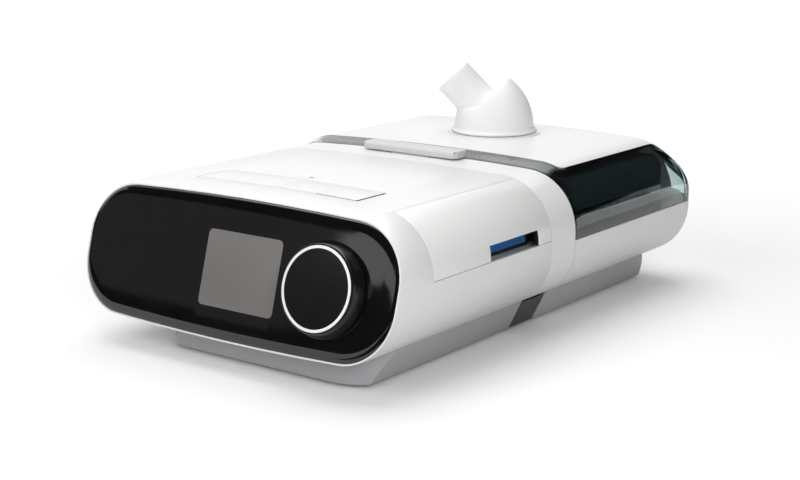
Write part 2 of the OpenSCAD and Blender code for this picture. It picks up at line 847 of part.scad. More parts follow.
// Memory card with one cut corner
module sd_card() {
    x1 = bay_x + bay_t + card_out;
    color(dark) translate([0, 0, card_z]) linear_extrude(card_t)
        polygon([[x1 - card_l + 3, card_y - card_w / 2], [x1, card_y - card_w / 2],
            [x1, card_y + card_w / 2], [x1 - card_l, card_y + card_w / 2],
            [x1 - card_l, card_y - card_w / 2 + 3]]);
}

// Duct from the filter down to the foam-lined tray
module inlet_duct() {
    y0 = filter_y0 + 1;
    y1 = filter_y0 + filter_l - 1;
    z1 = filter_z0 + filter_h;
    color(dark) intersection() {
        enclosure(y0 - 1, y1 + 1, wall + 0.2);
        difference() {
            span([58, y0, 0], [bay_x, y1, z1]);
            span([59.6, y0 + 1.6, -1], [bay_x - 1.6, y1 - 1.6, z1 - 1.6]);
            span([70, y0 + 3, filter_z0 + 3], [bay_x + 1, y1 - 3, z1 - 3]);
        }
    }
}

// Sound-absorbing foam on the tray's floor beside the blower
module muffler_foam() {
    color([0.3, 0.3, 0.32]) span([foam_x0, front_y + 50, tray_floor], [foam_x1, seam_y - 16, 16]);
}

// Soft mounts under the blower
module blower_mounts() {
    color(rubber) for (sx = [-1, 1], sy = [-1, 1])
        translate([blower_x + sx * mount_d, blower_y + sy * mount_d, tray_floor]) rotate_extrude()
            polygon([[0, 0], [6, 0], [6, 3], [4, 5], [4, 8], [6, 10],
                [6, blower_z - tray_floor], [0, blower_z - tray_floor]]);
}

// Growing spiral outline of the blower's scroll
function scroll(r0, grow, n = 48) =
    [for (i = [0:n]) (r0 + grow * i / n) * [cos(360 * i / n), sin(360 * i / n)]];

// Solid scroll with its straight outlet towards the back
module scroll_solid(z0, z1, extra) {
    translate([blower_x, blower_y, z0]) linear_extrude(z1 - z0) {
        polygon(scroll(volute_r + extra, volute_grow));
        span2([volute_r + volute_grow - 14 - extra, 0],
            [volute_r + volute_grow + extra, seam_y - 12 - blower_y]);
    }
}

// Lower half of the blower's scroll, with the air inlet in its floor
module blower_base() {
    color(dark) difference() {
        scroll_solid(blower_z, blower_z + blower_h, wall);
        difference() {
            scroll_solid(blower_z + 2, blower_z + blower_h + 1, 0);
            span([-200, seam_y - 14, 0], [200, seam_y, 200]);
        }
        post([blower_x, blower_y], 13, 0, 100);
        rod_y(port_x, port_z, 7, seam_y - 20, seam_y - 5);
    }
}

// Upper half with the motor seat and the posts of the main board
module blower_cover() {
    z0 = blower_z + blower_h;
    color(dark) difference() {
        union() {
            scroll_solid(z0, z0 + cover_t, wall);
            for (sx = [-1, 1], sy = [-1, 1])
                post([blower_x + sx * mount_d, blower_y + sy * mount_d], 3.5, z0, main_board_z);
            post([blower_x, blower_y], motor_r + 2, z0, z0 + cover_t + 2);
        }
        post([blower_x, blower_y], motor_shaft_r + 0.6, 0, 100);
        post([blower_x, blower_y], motor_r, z0 + cover_t, 100);
    }
}

// Blower wheel: disc, hub, backward-curved blades and the motor's shaft
module blower_wheel() {
    z0 = blower_z + 2.8;
    z1 = blower_z + blower_h - 0.8;
    color(white) translate([blower_x, blower_y, 0]) {
        translate([0, 0, z1 - 1.6]) cylinder(r = wheel_r, h = 1.6);
        translate([0, 0, z0 + 2]) cylinder(r = 6, h = z1 - z0 - 2);
        translate([0, 0, z1 - eps]) cylinder(r = motor_shaft_r, h = motor_h);
        for (i = [0:blade_count - 1]) rotate(360 * i / blade_count)
            translate([0, 0, z0]) linear_extrude(z1 - z0 - 1) blade_outline();
    }
}

// One curved blade between two arcs
module blade_outline() {
    r = wheel_r * 0.72;
    polygon(concat(arc([wheel_r * 0.55, -r * 0.75], r, 128, 64, 6),
        arc([wheel_r * 0.55, -r * 0.75], r - 1.1, 64, 128, 6)));
}

module blower_motor() {
    z0 = blower_z + blower_h + cover_t;
    color(steel) translate([blower_x, blower_y, z0]) difference() {
        union() {
            cylinder(r = motor_r - 0.1, h = motor_h - 2);
            translate([0, 0, motor_h - 2]) cylinder(r = motor_r - 3, h = 2);
        }
        translate([0, 0, -1]) cylinder(r = motor_shaft_r + pin_gap, h = motor_h - 2);
    }
}

// Main circuit board on the blower's posts, with its larger components
module main_board() {
    z = main_board_z;
    color(green) span([blower_x - 44, blower_y - 36, z], [blower_x + 46, blower_y + 40, z + board_t]);
    color(dark) {
        span([blower_x - 36, blower_y - 20, z + board_t], [blower_x - 16, blower_y, z + board_t + 2]);
        span([blower_x + 6, blower_y - 30, z + board_t], [blower_x + 30, blower_y - 18, z + board_t + 6]);
    }
    color(steel) for (i = [0:2])
        post([blower_x - 30 + 15 * i, blower_y + 26], 5, z + board_t - eps, z + board_t + 11);
}

// Soft tube from the scroll's outlet to the docking wall
module outlet_duct() {
    color(rubber) difference() {
        rod_y(port_x, port_z, duct_r, seam_y - 12, joint_y - 0.2 - wall);
        rod_y(port_x, port_z, port_r, seam_y - 13, joint_y);
    }
}

// Dark push button in the plinth that frees the humidifier
module release_button() {
    y0 = seam_y + 0.3 + run_gap;
    y1 = joint_y - 0.6 - run_gap;
    color(dark) difference() {
        intersection() {
            plinth(y0 - 40, y1 + 20, 0, tray_z, true);
            union() {
                span([plinth_w - 9 + release_travel + run_gap, y0, tray_z + 0.2], [90, y1, 20]);
                span([plinth_w - 16, y0 + 3, tray_floor + run_gap], [plinth_w, y1 - 3, 12]);
            }
        }
        // The pushed-in button also clears the curve of the shell above it
        translate([release_travel, 0, -run_gap]) enclosure(y0 - 5, y1 + 5);
    }
}

// Rubber feet, let into the tray
module unit_feet() {
    color(rubber) for (p = unit_feet_xy) post(p, 7, 0, tray_z + 0.6);
}

module unit_screws() {
    color(steel) for (p = unit_posts) screw(p, tray_z + 1.8, belly_z + 2.8);
}

// Humidifier

// Points of a quarter of an ellipse about a centre
function bow(c, rx, ry, a0, a1, n) =
    [for (i = [0:n]) let (a = a0 + (a1 - a0) * i / n) c + [rx * cos(a), ry * sin(a)]];

// Side outline of the humidifier, curved down and up to its back
module rear_profile(inset, top) {
    low = rear_low_r - inset;
    polygon(concat([[joint_y - 30, belly_z - 5], [rear_y - rear_low_r - 2, belly_z - 5]],
        arc([rear_y - rear_low_r, belly_z + rear_low_r], low, -90, 0, 8),
        bow([rear_y - rear_curve_l, top - rear_curve_h], rear_curve_l - inset,
            rear_curve_h - inset, 0, 90, 12),
        [[rear_y - rear_curve_l - 2, top + 5], [joint_y - 30, top + 5]]));
}

// Plan outline of the humidifier with its rounded rear corners
module humid_plan(inset) {
    x = body_w / 2 - inset;
    r = rear_r - inset;
    y = rear_y - rear_r;
    polygon(concat([[-x - 5, joint_y - 30], [x + 5, joint_y - 30], [x + 5, y - 2], [x, y - 1]],
        arc([x - r, y], r, 0, 90, 10), arc([-x + r, y], r, 90, 180, 10),
        [[-x, y - 1], [-x - 5, y - 2]]));
}

// Straight run of the humidifier's section between two depths
module humid_run(y0, y1, inset, top) {
    along_y(y0, y1) translate([0, (top + belly_z) / 2])
        pill(body_w, top - belly_z, section_r, crown, inset);
}

// Form of the humidifier from y0 back, rounded at its back and at its rear corners
module humid_form(y0, inset, top) {
    intersection() {
        humid_run(y0, rear_y + 1, inset, top);
        translate([0, 0, -10]) linear_extrude(120) humid_plan(inset);
        along_x(-body_w, body_w) rear_profile(inset, top);
    }
}

// Outer form of the lid: the tinted strip slopes up to the higher lid section
module lid_form(inset) {
    hull() {
        enclosure(lid_y0, lid_y0 + eps, inset);
        humid_run(strip_y, strip_y + eps, inset, lid_top_z);
    }
    humid_form(strip_y, inset, lid_top_z);
}

// The space that the lid's back sweeps, cut from the top of the base's rear wall
module hinge_relief() {
    intersection() {
        rod_x(lid_hinge_y, lid_hinge_z, lid_sweep_r, -body_w / 2, body_w / 2);
        span([-body_w / 2, lid_hinge_y - 0.5, 0], [body_w / 2, rear_y + 1, 200]);
    }
}

// Thin shell of the lid above the parting line, with its front wall
module lid_shell() {
    difference() {
        intersection() {
            lid_form(0);
            span([-200, lid_y0, part_z + seam], [200, rear_y + 1, 200]);
        }
        intersection() {
            lid_form(wall);
            span([-200, lid_y0 + wall, 0], [200, rear_y + 1, 200]);
        }
    }
}

// Region of the lid that the white cover takes
module cover_region() {
    span([-cover_w, strip_y, part_z + 22], [cover_w, rear_y + 1, 200]);
    span([-back_w, rear_y - 14, 0], [back_w, rear_y + 1, 200]);
}

// White lid cover with the elbow's seat and the round bead that it turns on
module lid_cover() {
    color(white) difference() {
        union() {
            intersection() {
                lid_shell();
                cover_region();
            }
            post([elbow_x, elbow_y], flange_r + 1.4, lid_top_z - wall - 2.2, elbow_seat);
            rod_x(lid_hinge_y, lid_hinge_z, lid_bead_r, -corner_x, corner_x);
        }
        post([elbow_x, elbow_y], spigot_r + pin_gap, 0, 200);
        // Notches for the base's ears, and the bores of the pins
        for (sx = [-1, 1]) {
            rod_x(lid_hinge_y, lid_hinge_z, lid_bead_r + run_gap, sx * ear_x - ear_w / 2 - run_gap,
                sx * ear_x + ear_w / 2 + run_gap);
            rod_x(lid_hinge_y, lid_hinge_z, lid_pin_r + pin_gap, sx * ear_x - pin_l / 2 - 0.5,
                sx * ear_x + pin_l / 2 + 0.5);
        }
    }
}

// Tinted clear part of the lid: strip, side windows, front wall and the rib on the seal
module lid_window() {
    color(tint) difference() {
        union() {
            difference() {
                lid_shell();
                cover_region();
            }
            // Rib that presses on the lid seal
            difference() {
                intersection() {
                    lid_form(wall - eps);
                    span([-200, lid_y0 + wall - eps, part_z + 1.3], [200, box_y1 + 2, part_z + 3.3]);
                }
                span([-rib_in, lid_y0 + wall + 3, 0], [rib_in, box_y1 - 4, 100]);
            }
            // Ears of the latch
            for (sx = [-1, 1]) {
                x0 = sx * (latch_w / 2 + 1.6) - 1.3;
                rod_x(latch_y, latch_z, 1.7, x0, x0 + 2.6);
                span([x0, latch_y - 1, top_z - 1.5], [x0 + 2.6, latch_y + 1.7, latch_z]);
            }
        }
        rod_x(latch_y, latch_z, latch_pin_r + pin_gap, -latch_w / 2 - 2.6, latch_w / 2 + 2.6);
    }
}

// Soft seal on the rim of the dry box
module lid_seal() {
    z0 = rim_z;
    z1 = part_z + 1.3 - 0.3;
    color(rubber) difference() {
        span([-body_w / 2 + 3.5, lid_y0 + wall + 0.6, z0], [body_w / 2 - 3.5, box_y1 + 1.5, z1]);
        span([-rib_in - 0.5, lid_y0 + wall + 3.4, z0 - 1], [rib_in + 0.5, box_y1 - 3.4, z1 + 1]);
    }
}

// White base shell of the humidifier, with the hinge ears on its rear wall
module humidifier_base() {
    y0 = joint_y + 0.2;
    color(white) difference() {
        union() {
            difference() {
                intersection() {
                    humid_form(y0, 0, top_z);
                    span([-200, y0, 0], [200, rear_y + 1, part_z]);
                }
                intersection() {
                    humid_form(y0, wall, top_z);
                    span([-200, y0 + wall, 0], [200, rear_y + 1, 200]);
                }
                hinge_relief();
            }
            for (sx = [-1, 1]) {
                x0 = sx * ear_x - ear_w / 2;
                rod_x(lid_hinge_y, lid_hinge_z, lid_bead_r, x0, x0 + ear_w);
                span([x0, lid_hinge_y - lid_bead_r, part_z - 12],
                    [x0 + ear_w, lid_hinge_y + 1.2, lid_hinge_z]);
            }
            intersection() {
                for (p = humid_posts) post(p, 4, belly_z + 1, humid_boss_z);
                humid_run(y0, rear_y - rear_r, wall / 2, top_z);
            }
        }
        span([-belly_open, y0 + wall, 0], [belly_open, box_y1 - 12, 20]);
        rod_y(port_x, port_z, duct_r + 0.5, y0 - 1, y0 + 10);
        for (p = humid_posts) post(p, screw_r + pin_gap, 0, humid_boss_z + 1);
        for (sx = [-1, 1]) rod_x(lid_hinge_y, lid_hinge_z, lid_pin_r + pin_gap,
            sx * ear_x - ear_w, sx * ear_x + ear_w);
        // Seat of the power inlet in the back
        rod_y(power_x, power_z, power_r + 0.2, rear_y - 20, rear_y + 1);
    }
}

// Grey lower tray of the humidifier
module humidifier_tray() {
    y0 = joint_y + 0.2;
    y1 = rear_y - plinth_rear;
    color(grey) difference() {
        union() {
            difference() {
                plinth(y0, y1, 0, tray_z, false);
                plinth(y0 + wall, y1, wall, tray_floor, false);
            }
            intersection() {
                for (p = humid_posts) post(p, 5, tray_z + eps, 20);
                plinth(y0, y1, 0, tray_z, false);
            }
        }
        humid_form(y0 - 1, 0, top_z);
        for (p = humid_posts) {
            post(p, screw_r + pin_gap, 0, 30);
            post(p, screw_head_r + 0.2, 0, tray_z + 4);
        }
        for (p = humid_feet_xy) post(p, 7.1, 0, tray_z + 0.6);
    }
}

// Liner that the tank stands in, with its rim and the air port
module dry_box() {
    t = 2;
    rim_y1 = lid_hinge_y - lid_sweep_r;
    color(dark) difference() {
        union() {
            difference() {
                intersection() {
                    humid_run(box_y0, box_y1, wall + 0.3, top_z);
                    span([-box_x, box_y0, box_floor], [box_x, box_y1, rim_z]);
                }
                intersection() {
                    humid_run(box_y0, box_y1, wall + 0.3 + t, top_z);
                    span([-box_x + t, box_y0 + t, box_floor + t], [box_x - t, box_y1 - t, 200]);
                }
            }
            // Rim out to the shell's wall
            difference() {
                intersection() {
                    humid_form(joint_y + 0.4 + wall, wall + 0.1, top_z);
                    span([-200, joint_y + 0.4 + wall, rim_z - t], [200, rim_y1, rim_z]);
                }
                span([-box_x + t, box_y0 + t, 0], [box_x - t, box_y1 - t, 100]);
            }
        }
        rod_y(port_x, port_z, port_r, box_y0 - 5, box_y0 + 5);
        span([-plate_l / 2 - 1, plate_y - plate_w / 2 - 1, 0],
            [plate_l / 2 + 1, plate_y + plate_w / 2 + 1, box_floor + 3]);
    }
}

// Soft collar that seals the air port between the two halves
module dock_seal() {
    y0 = joint_y - 0.2;
    color(rubber) difference() {
        union() {
            rod_y(port_x, port_z, duct_r, y0 + 0.4 + 0.05, box_y0);
            rod_y(port_x, port_z, duct_r + 2, y0 + 0.4 + wall + 0.1, box_y0);
        }
        rod_y(port_x, port_z, port_r, y0 - 1, box_y0 + 1);
    }
}

// Aluminium plate that heats the tank's base, floating on springs
module heater_plate() {
    z1 = plate_top - plate_t;
    color(steel) {
        span([-plate_l / 2, plate_y - plate_w / 2, z1],
            [plate_l / 2, plate_y + plate_w / 2, plate_top]);
        for (p = spring_xy) post(p, 2.6, z1 - 2, z1 + eps);
    }
}

module heater_springs() {
    z0 = tray_floor + 2;
    z1 = plate_top - plate_t;
    color(steel) for (p = spring_xy) difference() {
        post(p, 4, z0, z1);
        post(p, 3, z0 - 1, z1 + 1);
    }
}

// Heat shield with the spring seats, on the tray's floor
module heater_bracket() {
    z0 = tray_floor;
    color(steel) {
        span([-plate_l / 2, plate_y - plate_w / 2, z0], [plate_l / 2, plate_y + plate_w / 2, z0 + 2]);
        for (p = spring_xy) post(p, 2.6, z0 + 2 - eps, z0 + 5);
    }
}

// Contoured form of the tank between two heights
module tank_form(inset, z0, z1) {
    intersection() {
        humid_run(tub_y0, tub_y1, tub_inset + inset, lid_top_z);
        span([-tub_x + inset, tub_y0 + inset, z0], [tub_x - inset, tub_y1 - inset, z1]);
    }
}

// Clear water tub
module water_tub() {
    z1 = tub_z + tub_h;
    color(clear) difference() {
        tank_form(0, tub_z, z1);
        tank_form(tub_wall, tub_z + tub_wall, z1 + 1);
        span([-plate_l / 2 + 4, plate_y - plate_w / 2 + 4, 0],
            [plate_l / 2 - 4, plate_y + plate_w / 2 - 4, tub_z + 5]);
        // Flat seat of the metal base's flange
        span([-plate_l / 2, plate_y - plate_w / 2, tub_z + tub_wall],
            [plate_l / 2, plate_y + plate_w / 2, tub_z + 5]);
    }
}

// Metal base of the tub, which stands on the heater plate
module tank_plate() {
    color(steel) {
        span([-plate_l / 2 + 4, plate_y - plate_w / 2 + 4, tub_z],
            [plate_l / 2 - 4, plate_y + plate_w / 2 - 4, tub_z + tub_wall + eps]);
        span([-plate_l / 2, plate_y - plate_w / 2, tub_z + tub_wall],
            [plate_l / 2, plate_y + plate_w / 2, tub_z + tub_wall + 0.8]);
    }
}

// Seal between the tub and the tank's lid
module tank_seal() {
    z0 = tub_z + tub_h;
    color(rubber) difference() {
        tank_form(0, z0, z0 + 0.9);
        tank_form(3.2, z0 - 1, z0 + 2);
    }
}

// Dark tank lid with the air inlet at the front and the outlet below the elbow
module tank_lid() {
    z0 = tub_z + tub_h + 0.9;
    color(dark) difference() {
        tank_form(0, z0, z0 + tank_lid_h);
        tank_form(3.2, z0 - 1, z0 + tank_lid_h - 2.4);
        post([elbow_x, elbow_y], 14, z0, 200);
        rod_y(port_x, z0 + tank_lid_h / 2, 5, tub_y0 - 5, tub_y0 + 8);
    }
}

module lid_pins() {
    color(steel) for (sx = [-1, 1])
        rod_x(lid_hinge_y, lid_hinge_z, lid_pin_r, sx * ear_x - pin_l / 2, sx * ear_x + pin_l / 2);
}

// Latch bar at the front of the lid
module lid_latch() {
    x1 = latch_w / 2;
    y0 = latch_y - latch_l + 1.7;
    z0 = latch_z - 2.1;
    color([0.8, 0.8, 0.8]) difference() {
        union() {
            along_x(-x1, x1) {
                polygon(concat(arc([y0 + 1.2, z0 + latch_t - 1.2], 1.2, 180, 90, 4),
                    [[latch_y, latch_z + 1.7], [latch_y, latch_z - 1.6], [latch_y - 4, z0]],
                    arc([y0 + 0.6, z0 + 0.6], 0.6, 270, 180, 3)));
                translate([latch_y, latch_z]) circle(1.6);
            }
            // Tongue that drops into the pocket of the rear cover
            span([-12, latch_y - 10.8, top_z - 1.4], [12, latch_y - 8.2, z0 + 1]);
        }
        rod_x(latch_y, latch_z, latch_pin_r + pin_gap, -x1 - 1, -x1 + 6);
        rod_x(latch_y, latch_z, latch_pin_r + pin_gap, x1 - 6, x1 + 1);
    }
}

module latch_pins() {
    color(steel) for (sx = [-1, 1])
        rod_x(latch_y, latch_z, latch_pin_r, sx * (latch_w / 2 - 1.4) - 3.8,
            sx * (latch_w / 2 - 1.4) + 3.8);
}

// Soft ring between the tank's outlet and the lid
module outlet_seal() {
    z0 = tank_top + 0.2;
    color(rubber) difference() {
        post([elbow_x, elbow_y], flange_r + 1, z0, lid_top_z - wall - 2.2);
        post([elbow_x, elbow_y], spigot_r + 2.6, z0 + 2, 200);
        post([elbow_x, elbow_y], 14, 0, 200);
    }
}

// Frame of the hose tube: Z along the tube, from where its axis meets the swivel axis
module on_tube() {
    translate([elbow_x, elbow_y, tube_z]) rotate([0, 0, tube_turn]) rotate([0, -tube_rise, 0])
        children();
}

// Swivelling elbow: flange, pointed dome cut square to the tube, and the hose tube
module elbow() {
    dome_arc = 36;
    color([0.9, 0.9, 0.9]) difference() {
        union() {
            post([elbow_x, elbow_y], flange_r, elbow_seat + run_gap, elbow_seat + 1.8);
            post([elbow_x, elbow_y], spigot_r, lid_top_z - wall - 4.6, elbow_seat + 1);
            difference() {
                translate([elbow_x, elbow_y, elbow_seat + 1.4]) rotate_extrude()
                    polygon(concat([[0, 0]], arc([dome_r - dome_arc, 0], dome_arc, 0,
                        acos((dome_arc - dome_r) / dome_arc), 10)));
                on_tube() translate([-60, -60, shoulder_l]) cube([120, 120, 60]);
            }
            on_tube() cylinder(r = tube_r, h = shoulder_l + tube_l);
        }
        post([elbow_x, elbow_y], spigot_bore_r, 0, elbow_seat + 6);
        on_tube() cylinder(r = tube_bore_r, h = 60);
    }
}

// Ring that holds the elbow in the lid from below
module elbow_clip() {
    z1 = lid_top_z - wall - 2.2 - run_gap;
    color(dark) difference() {
        post([elbow_x, elbow_y], spigot_r + 1.8, z1 - 1.8, z1);
        post([elbow_x, elbow_y], spigot_r, 0, 200);
    }
}

// Power socket in the humidifier's back
module power_inlet() {
    color(black) {
        difference() {
            union() {
                rod_y(power_x, power_z, power_r, power_y - 16, power_y);
                span([power_x - 6, power_y - 18, power_z - 5.5],
                    [power_x + 6, power_y - 6.5, power_z + 5.5]);
            }
            rod_y(power_x, power_z, power_bore_r, power_y - 11, rear_y);
        }
        rod_y(power_x, power_z, 1, power_y - 11.5, power_y - 2);
    }
}

module humidifier_feet() {
    color(rubber) for (p = humid_feet_xy) post(p, 7, 0, tray_z + 0.6);
}

module humidifier_screws() {
    color(steel) for (p = humid_posts) screw(p, tray_z + 1.8, humid_boss_z - tray_z - 4.2);
}

main_housing();
base_tray();
rear_cover();
front_panel();
screen_lens();
lcd_module();
display_board();
display_screws();
encoder_body();
dial_plunger();
dial_knob();
dial_ring();
ramp_button();
therapy_button();
light_sensor_lens();
button_board();
button_switches();
button_board_screws();
side_door();
door_pins();
side_bay();
filter_frame();
pollen_filter();
sd_reader();
sd_card();
inlet_duct();
muffler_foam();
blower_mounts();
blower_base();
blower_cover();
blower_wheel();
blower_motor();
main_board();
outlet_duct();
release_button();
unit_feet();
unit_screws();
humidifier_base();
humidifier_tray();
dry_box();
dock_seal();
heater_plate();
heater_springs();
heater_bracket();
water_tub();
tank_plate();
tank_seal();
tank_lid();
lid_cover();
lid_window();
lid_seal();
lid_pins();
lid_latch();
latch_pins();
outlet_seal();
elbow();
elbow_clip();
power_inlet();
humidifier_feet();
humidifier_screws();
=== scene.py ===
# Bedside breathing device with a heated humidifier docked behind it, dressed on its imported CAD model
import math

import bmesh
import bpy
from mathutils import Matrix, Vector


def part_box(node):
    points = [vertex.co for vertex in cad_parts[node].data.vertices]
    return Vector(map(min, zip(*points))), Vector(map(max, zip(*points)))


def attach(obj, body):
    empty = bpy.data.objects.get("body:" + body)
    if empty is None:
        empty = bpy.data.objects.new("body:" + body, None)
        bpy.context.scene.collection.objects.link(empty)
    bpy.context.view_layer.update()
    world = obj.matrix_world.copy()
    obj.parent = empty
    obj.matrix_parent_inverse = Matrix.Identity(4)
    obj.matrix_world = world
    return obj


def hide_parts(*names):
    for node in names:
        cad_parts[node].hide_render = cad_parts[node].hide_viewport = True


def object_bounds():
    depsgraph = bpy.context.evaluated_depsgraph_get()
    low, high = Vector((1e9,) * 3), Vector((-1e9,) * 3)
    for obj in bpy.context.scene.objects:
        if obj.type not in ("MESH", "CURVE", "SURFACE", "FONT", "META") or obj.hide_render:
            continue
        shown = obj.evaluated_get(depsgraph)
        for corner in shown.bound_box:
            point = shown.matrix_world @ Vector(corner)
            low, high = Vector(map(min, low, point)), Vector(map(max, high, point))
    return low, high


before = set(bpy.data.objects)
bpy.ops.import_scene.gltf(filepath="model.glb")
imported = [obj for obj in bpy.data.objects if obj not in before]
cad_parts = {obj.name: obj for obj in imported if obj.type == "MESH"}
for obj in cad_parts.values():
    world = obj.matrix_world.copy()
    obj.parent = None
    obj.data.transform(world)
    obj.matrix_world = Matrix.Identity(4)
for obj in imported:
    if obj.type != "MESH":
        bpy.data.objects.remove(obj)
cad_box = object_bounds()
MM = 0.001

# Camera
# Placed where the photograph was taken: low in front of the right-hand corner, level with
# the elbow. A long lens from 0.9 m gives the mild perspective of a product photograph.
camera = bpy.data.objects.new("Camera", bpy.data.cameras.new("Camera"))
bpy.context.scene.collection.objects.link(camera)
camera.location = (0.48424, cad_box[0].y - 0.50185, 0.22416)
camera.rotation_mode = "QUATERNION"
camera.rotation_quaternion = Vector((-0.5841, 0.7796, -0.2260)).to_track_quat("-Z", "Y")
camera.data.sensor_width = 36
camera.data.lens = 70.45
camera.data.clip_start = 0.01
bpy.context.scene.camera = camera
bpy.context.scene.view_settings.view_transform = "Standard"


# Studio
# A pale table top that runs out of sight, a white room and three softboxes: overhead, in front
# and at the right. Black cloths, a grey card and a lit white card stand round the device for
# its glossy parts to reflect, and a black flag at the right shades that side.
def linear(hexa):
    """Linear colour of an sRGB hex value."""
    parts = [int(hexa[i:i + 2], 16) / 255 for i in (1, 3, 5)]
    return tuple(c / 12.92 if c <= 0.04045 else ((c + 0.055) / 1.055) ** 2.4 for c in parts) + (1,)


def add(tree, kind, inputs=None, **settings):
    """A shader node with its settings; an input is a value or another node's output."""
    made = tree.nodes.new(kind)
    for key, value in settings.items():
        setattr(made, key, value)
    for key, value in (inputs or {}).items():
        if isinstance(value, bpy.types.NodeSocket):
            tree.links.new(value, made.inputs[key])
        else:
            made.inputs[key].default_value = value
    return made


def new_material(name, **sockets):
    """A material with one Principled shader whose constant sockets are set directly."""
    made = bpy.data.materials.new(name)
    made.use_nodes = True
    shader = made.node_tree.nodes["Principled BSDF"]
    for key, value in sockets.items():
        shader.inputs[key.replace("_", " ")].default_value = value
    return made, made.node_tree, shader


def link(tree, output, shader, socket):
    tree.links.new(output, shader.inputs[socket])


def clear():
    if bpy.context.object and bpy.context.object.mode != "OBJECT":
        bpy.ops.object.mode_set(mode="OBJECT")
    bpy.ops.object.select_all(action="DESELECT")


table_paint, tree, shader = new_material("Matt_white_laminate", Roughness=0.7)
grain = add(tree, "ShaderNodeTexNoise", {"Scale": 40.0, "Detail": 3.0})
tint = add(tree, "ShaderNodeMix", {"Factor": grain.outputs["Fac"], "A": linear("#f4f4f4"),
    "B": linear("#f8f8f8")}, data_type="RGBA")
rays = add(tree, "ShaderNodeLightPath")
seen = add(tree, "ShaderNodeMath", {0: rays.outputs["Is Camera Ray"],
    1: rays.outputs["Is Glossy Ray"]}, operation="ADD")
seen = add(tree, "ShaderNodeMath", {0: seen.outputs[0], 1: rays.outputs["Is Transmission Ray"]},
    operation="ADD", use_clamp=True)
# What is seen is white; the light it throws back on the device is that of a duller top
shown = add(tree, "ShaderNodeMix", {"Factor": seen.outputs[0], "A": linear("#d3d3d3"),
    "B": tint.outputs["Result"]}, data_type="RGBA")
link(tree, shown.outputs["Result"], shader, "Base Color")
place = add(tree, "ShaderNodeTexCoord")
reach = add(tree, "ShaderNodeVectorMath", {0: place.outputs["Object"]}, operation="LENGTH")
glow = add(tree, "ShaderNodeMapRange", {"Value": reach.outputs["Value"], "From Min": 0.25,
    "From Max": 1.2, "To Min": 0.06, "To Max": 0.6})
lift = add(tree, "ShaderNodeMath", {0: seen.outputs[0], 1: glow.outputs["Result"]},
    operation="MULTIPLY")
link(tree, lift.outputs[0], shader, "Emission Strength")
shader.inputs["Emission Color"].default_value = (1, 1, 1, 1)

clear()
bpy.ops.mesh.primitive_plane_add(size=8, location=(0, 0, 0))
table = bpy.context.object
table.name = "Table_top"
table.data.materials.append(table_paint)

world = bpy.data.worlds.new("White_room")
bpy.context.scene.world = world
world.use_nodes = True
tree = world.node_tree
backdrop = tree.nodes["Background"]
rays = add(tree, "ShaderNodeLightPath")
seen = add(tree, "ShaderNodeMath", {0: rays.outputs["Is Camera Ray"],
    1: rays.outputs["Is Glossy Ray"]}, operation="ADD")
seen = add(tree, "ShaderNodeMath", {0: seen.outputs[0], 1: rays.outputs["Is Transmission Ray"]},
    operation="ADD", use_clamp=True)
level = add(tree, "ShaderNodeMapRange", {"Value": seen.outputs[0], "To Min": 0.29, "To Max": 1.0})
tree.links.new(level.outputs["Result"], backdrop.inputs["Strength"])
backdrop.inputs["Color"].default_value = (1, 1, 1, 1)


def softbox(name, place, aim, size, power):
    lamp = bpy.data.lights.new(name, "AREA")
    lamp.shape = "RECTANGLE"
    lamp.size, lamp.size_y = size
    lamp.energy = power
    made = bpy.data.objects.new(name, lamp)
    bpy.context.scene.collection.objects.link(made)
    made.location = place
    made.rotation_mode = "QUATERNION"
    made.rotation_quaternion = (Vector(aim) - Vector(place)).to_track_quat("-Z", "Y")
    return made


softbox("Overhead_softbox", (-0.3, 0.2, 1.5), (0, 0, 0.05), (1.5, 1.5), 16.5)
for name, place, size, power in (("Front_softbox", (-0.5, -1.7, 1.1), 1.2, 11),
        ("Right_softbox", (0.68, -0.55, 0.42), 0.4, 3.0)):
    lamp = softbox(name, place, (0, -0.06, 0.05), (size, size), power)
    lamp.visible_glossy = lamp.visible_transmission = False

black_cloth, tree, shader = new_material("Black_flock_cloth", Roughness=1.0)
weave = add(tree, "ShaderNodeTexNoise", {"Scale": 300.0})
tint = add(tree, "ShaderNodeMix", {"Factor": weave.outputs["Fac"], "A": linear("#040404"),
    "B": linear("#0b0b0b")}, data_type="RGBA")
link(tree, tint.outputs["Result"], shader, "Base Color")
grey_card, tree, shader = new_material("Grey_card", Roughness=1.0)
grain = add(tree, "ShaderNodeTexNoise", {"Scale": 200.0})
tint = add(tree, "ShaderNodeMix", {"Factor": grain.outputs["Fac"], "A": linear("#8e8e8e"),
    "B": linear("#949494")}, data_type="RGBA")
link(tree, tint.outputs["Result"], shader, "Base Color")
lit_card, tree, shader = new_material("Lit_white_card", Roughness=1.0)
grain = add(tree, "ShaderNodeTexNoise", {"Scale": 200.0})
tint = add(tree, "ShaderNodeMix", {"Factor": grain.outputs["Fac"], "A": linear("#f6f6f6"),
    "B": linear("#ffffff")}, data_type="RGBA")
link(tree, tint.outputs["Result"], shader, "Base Color")
link(tree, tint.outputs["Result"], shader, "Emission Color")
shader.inputs["Emission Strength"].default_value = 0.9


def card(name, material, corners):
    """A cloth or card that only glossy rays see, given by its four corners in metres."""
    clear()
    bpy.ops.mesh.primitive_plane_add(size=1)
    made = bpy.context.object
    made.name = name
    for v, place in zip(made.data.vertices, corners):
        v.co = place
    made.data.materials.append(material)
    made.visible_camera = made.visible_diffuse = False
    made.visible_transmission = made.visible_shadow = False
    return made


def upright(name, material, left, right, low, high):
    return card(name, material, [(*left, low), (*right, low), (*left, high), (*right, high)])


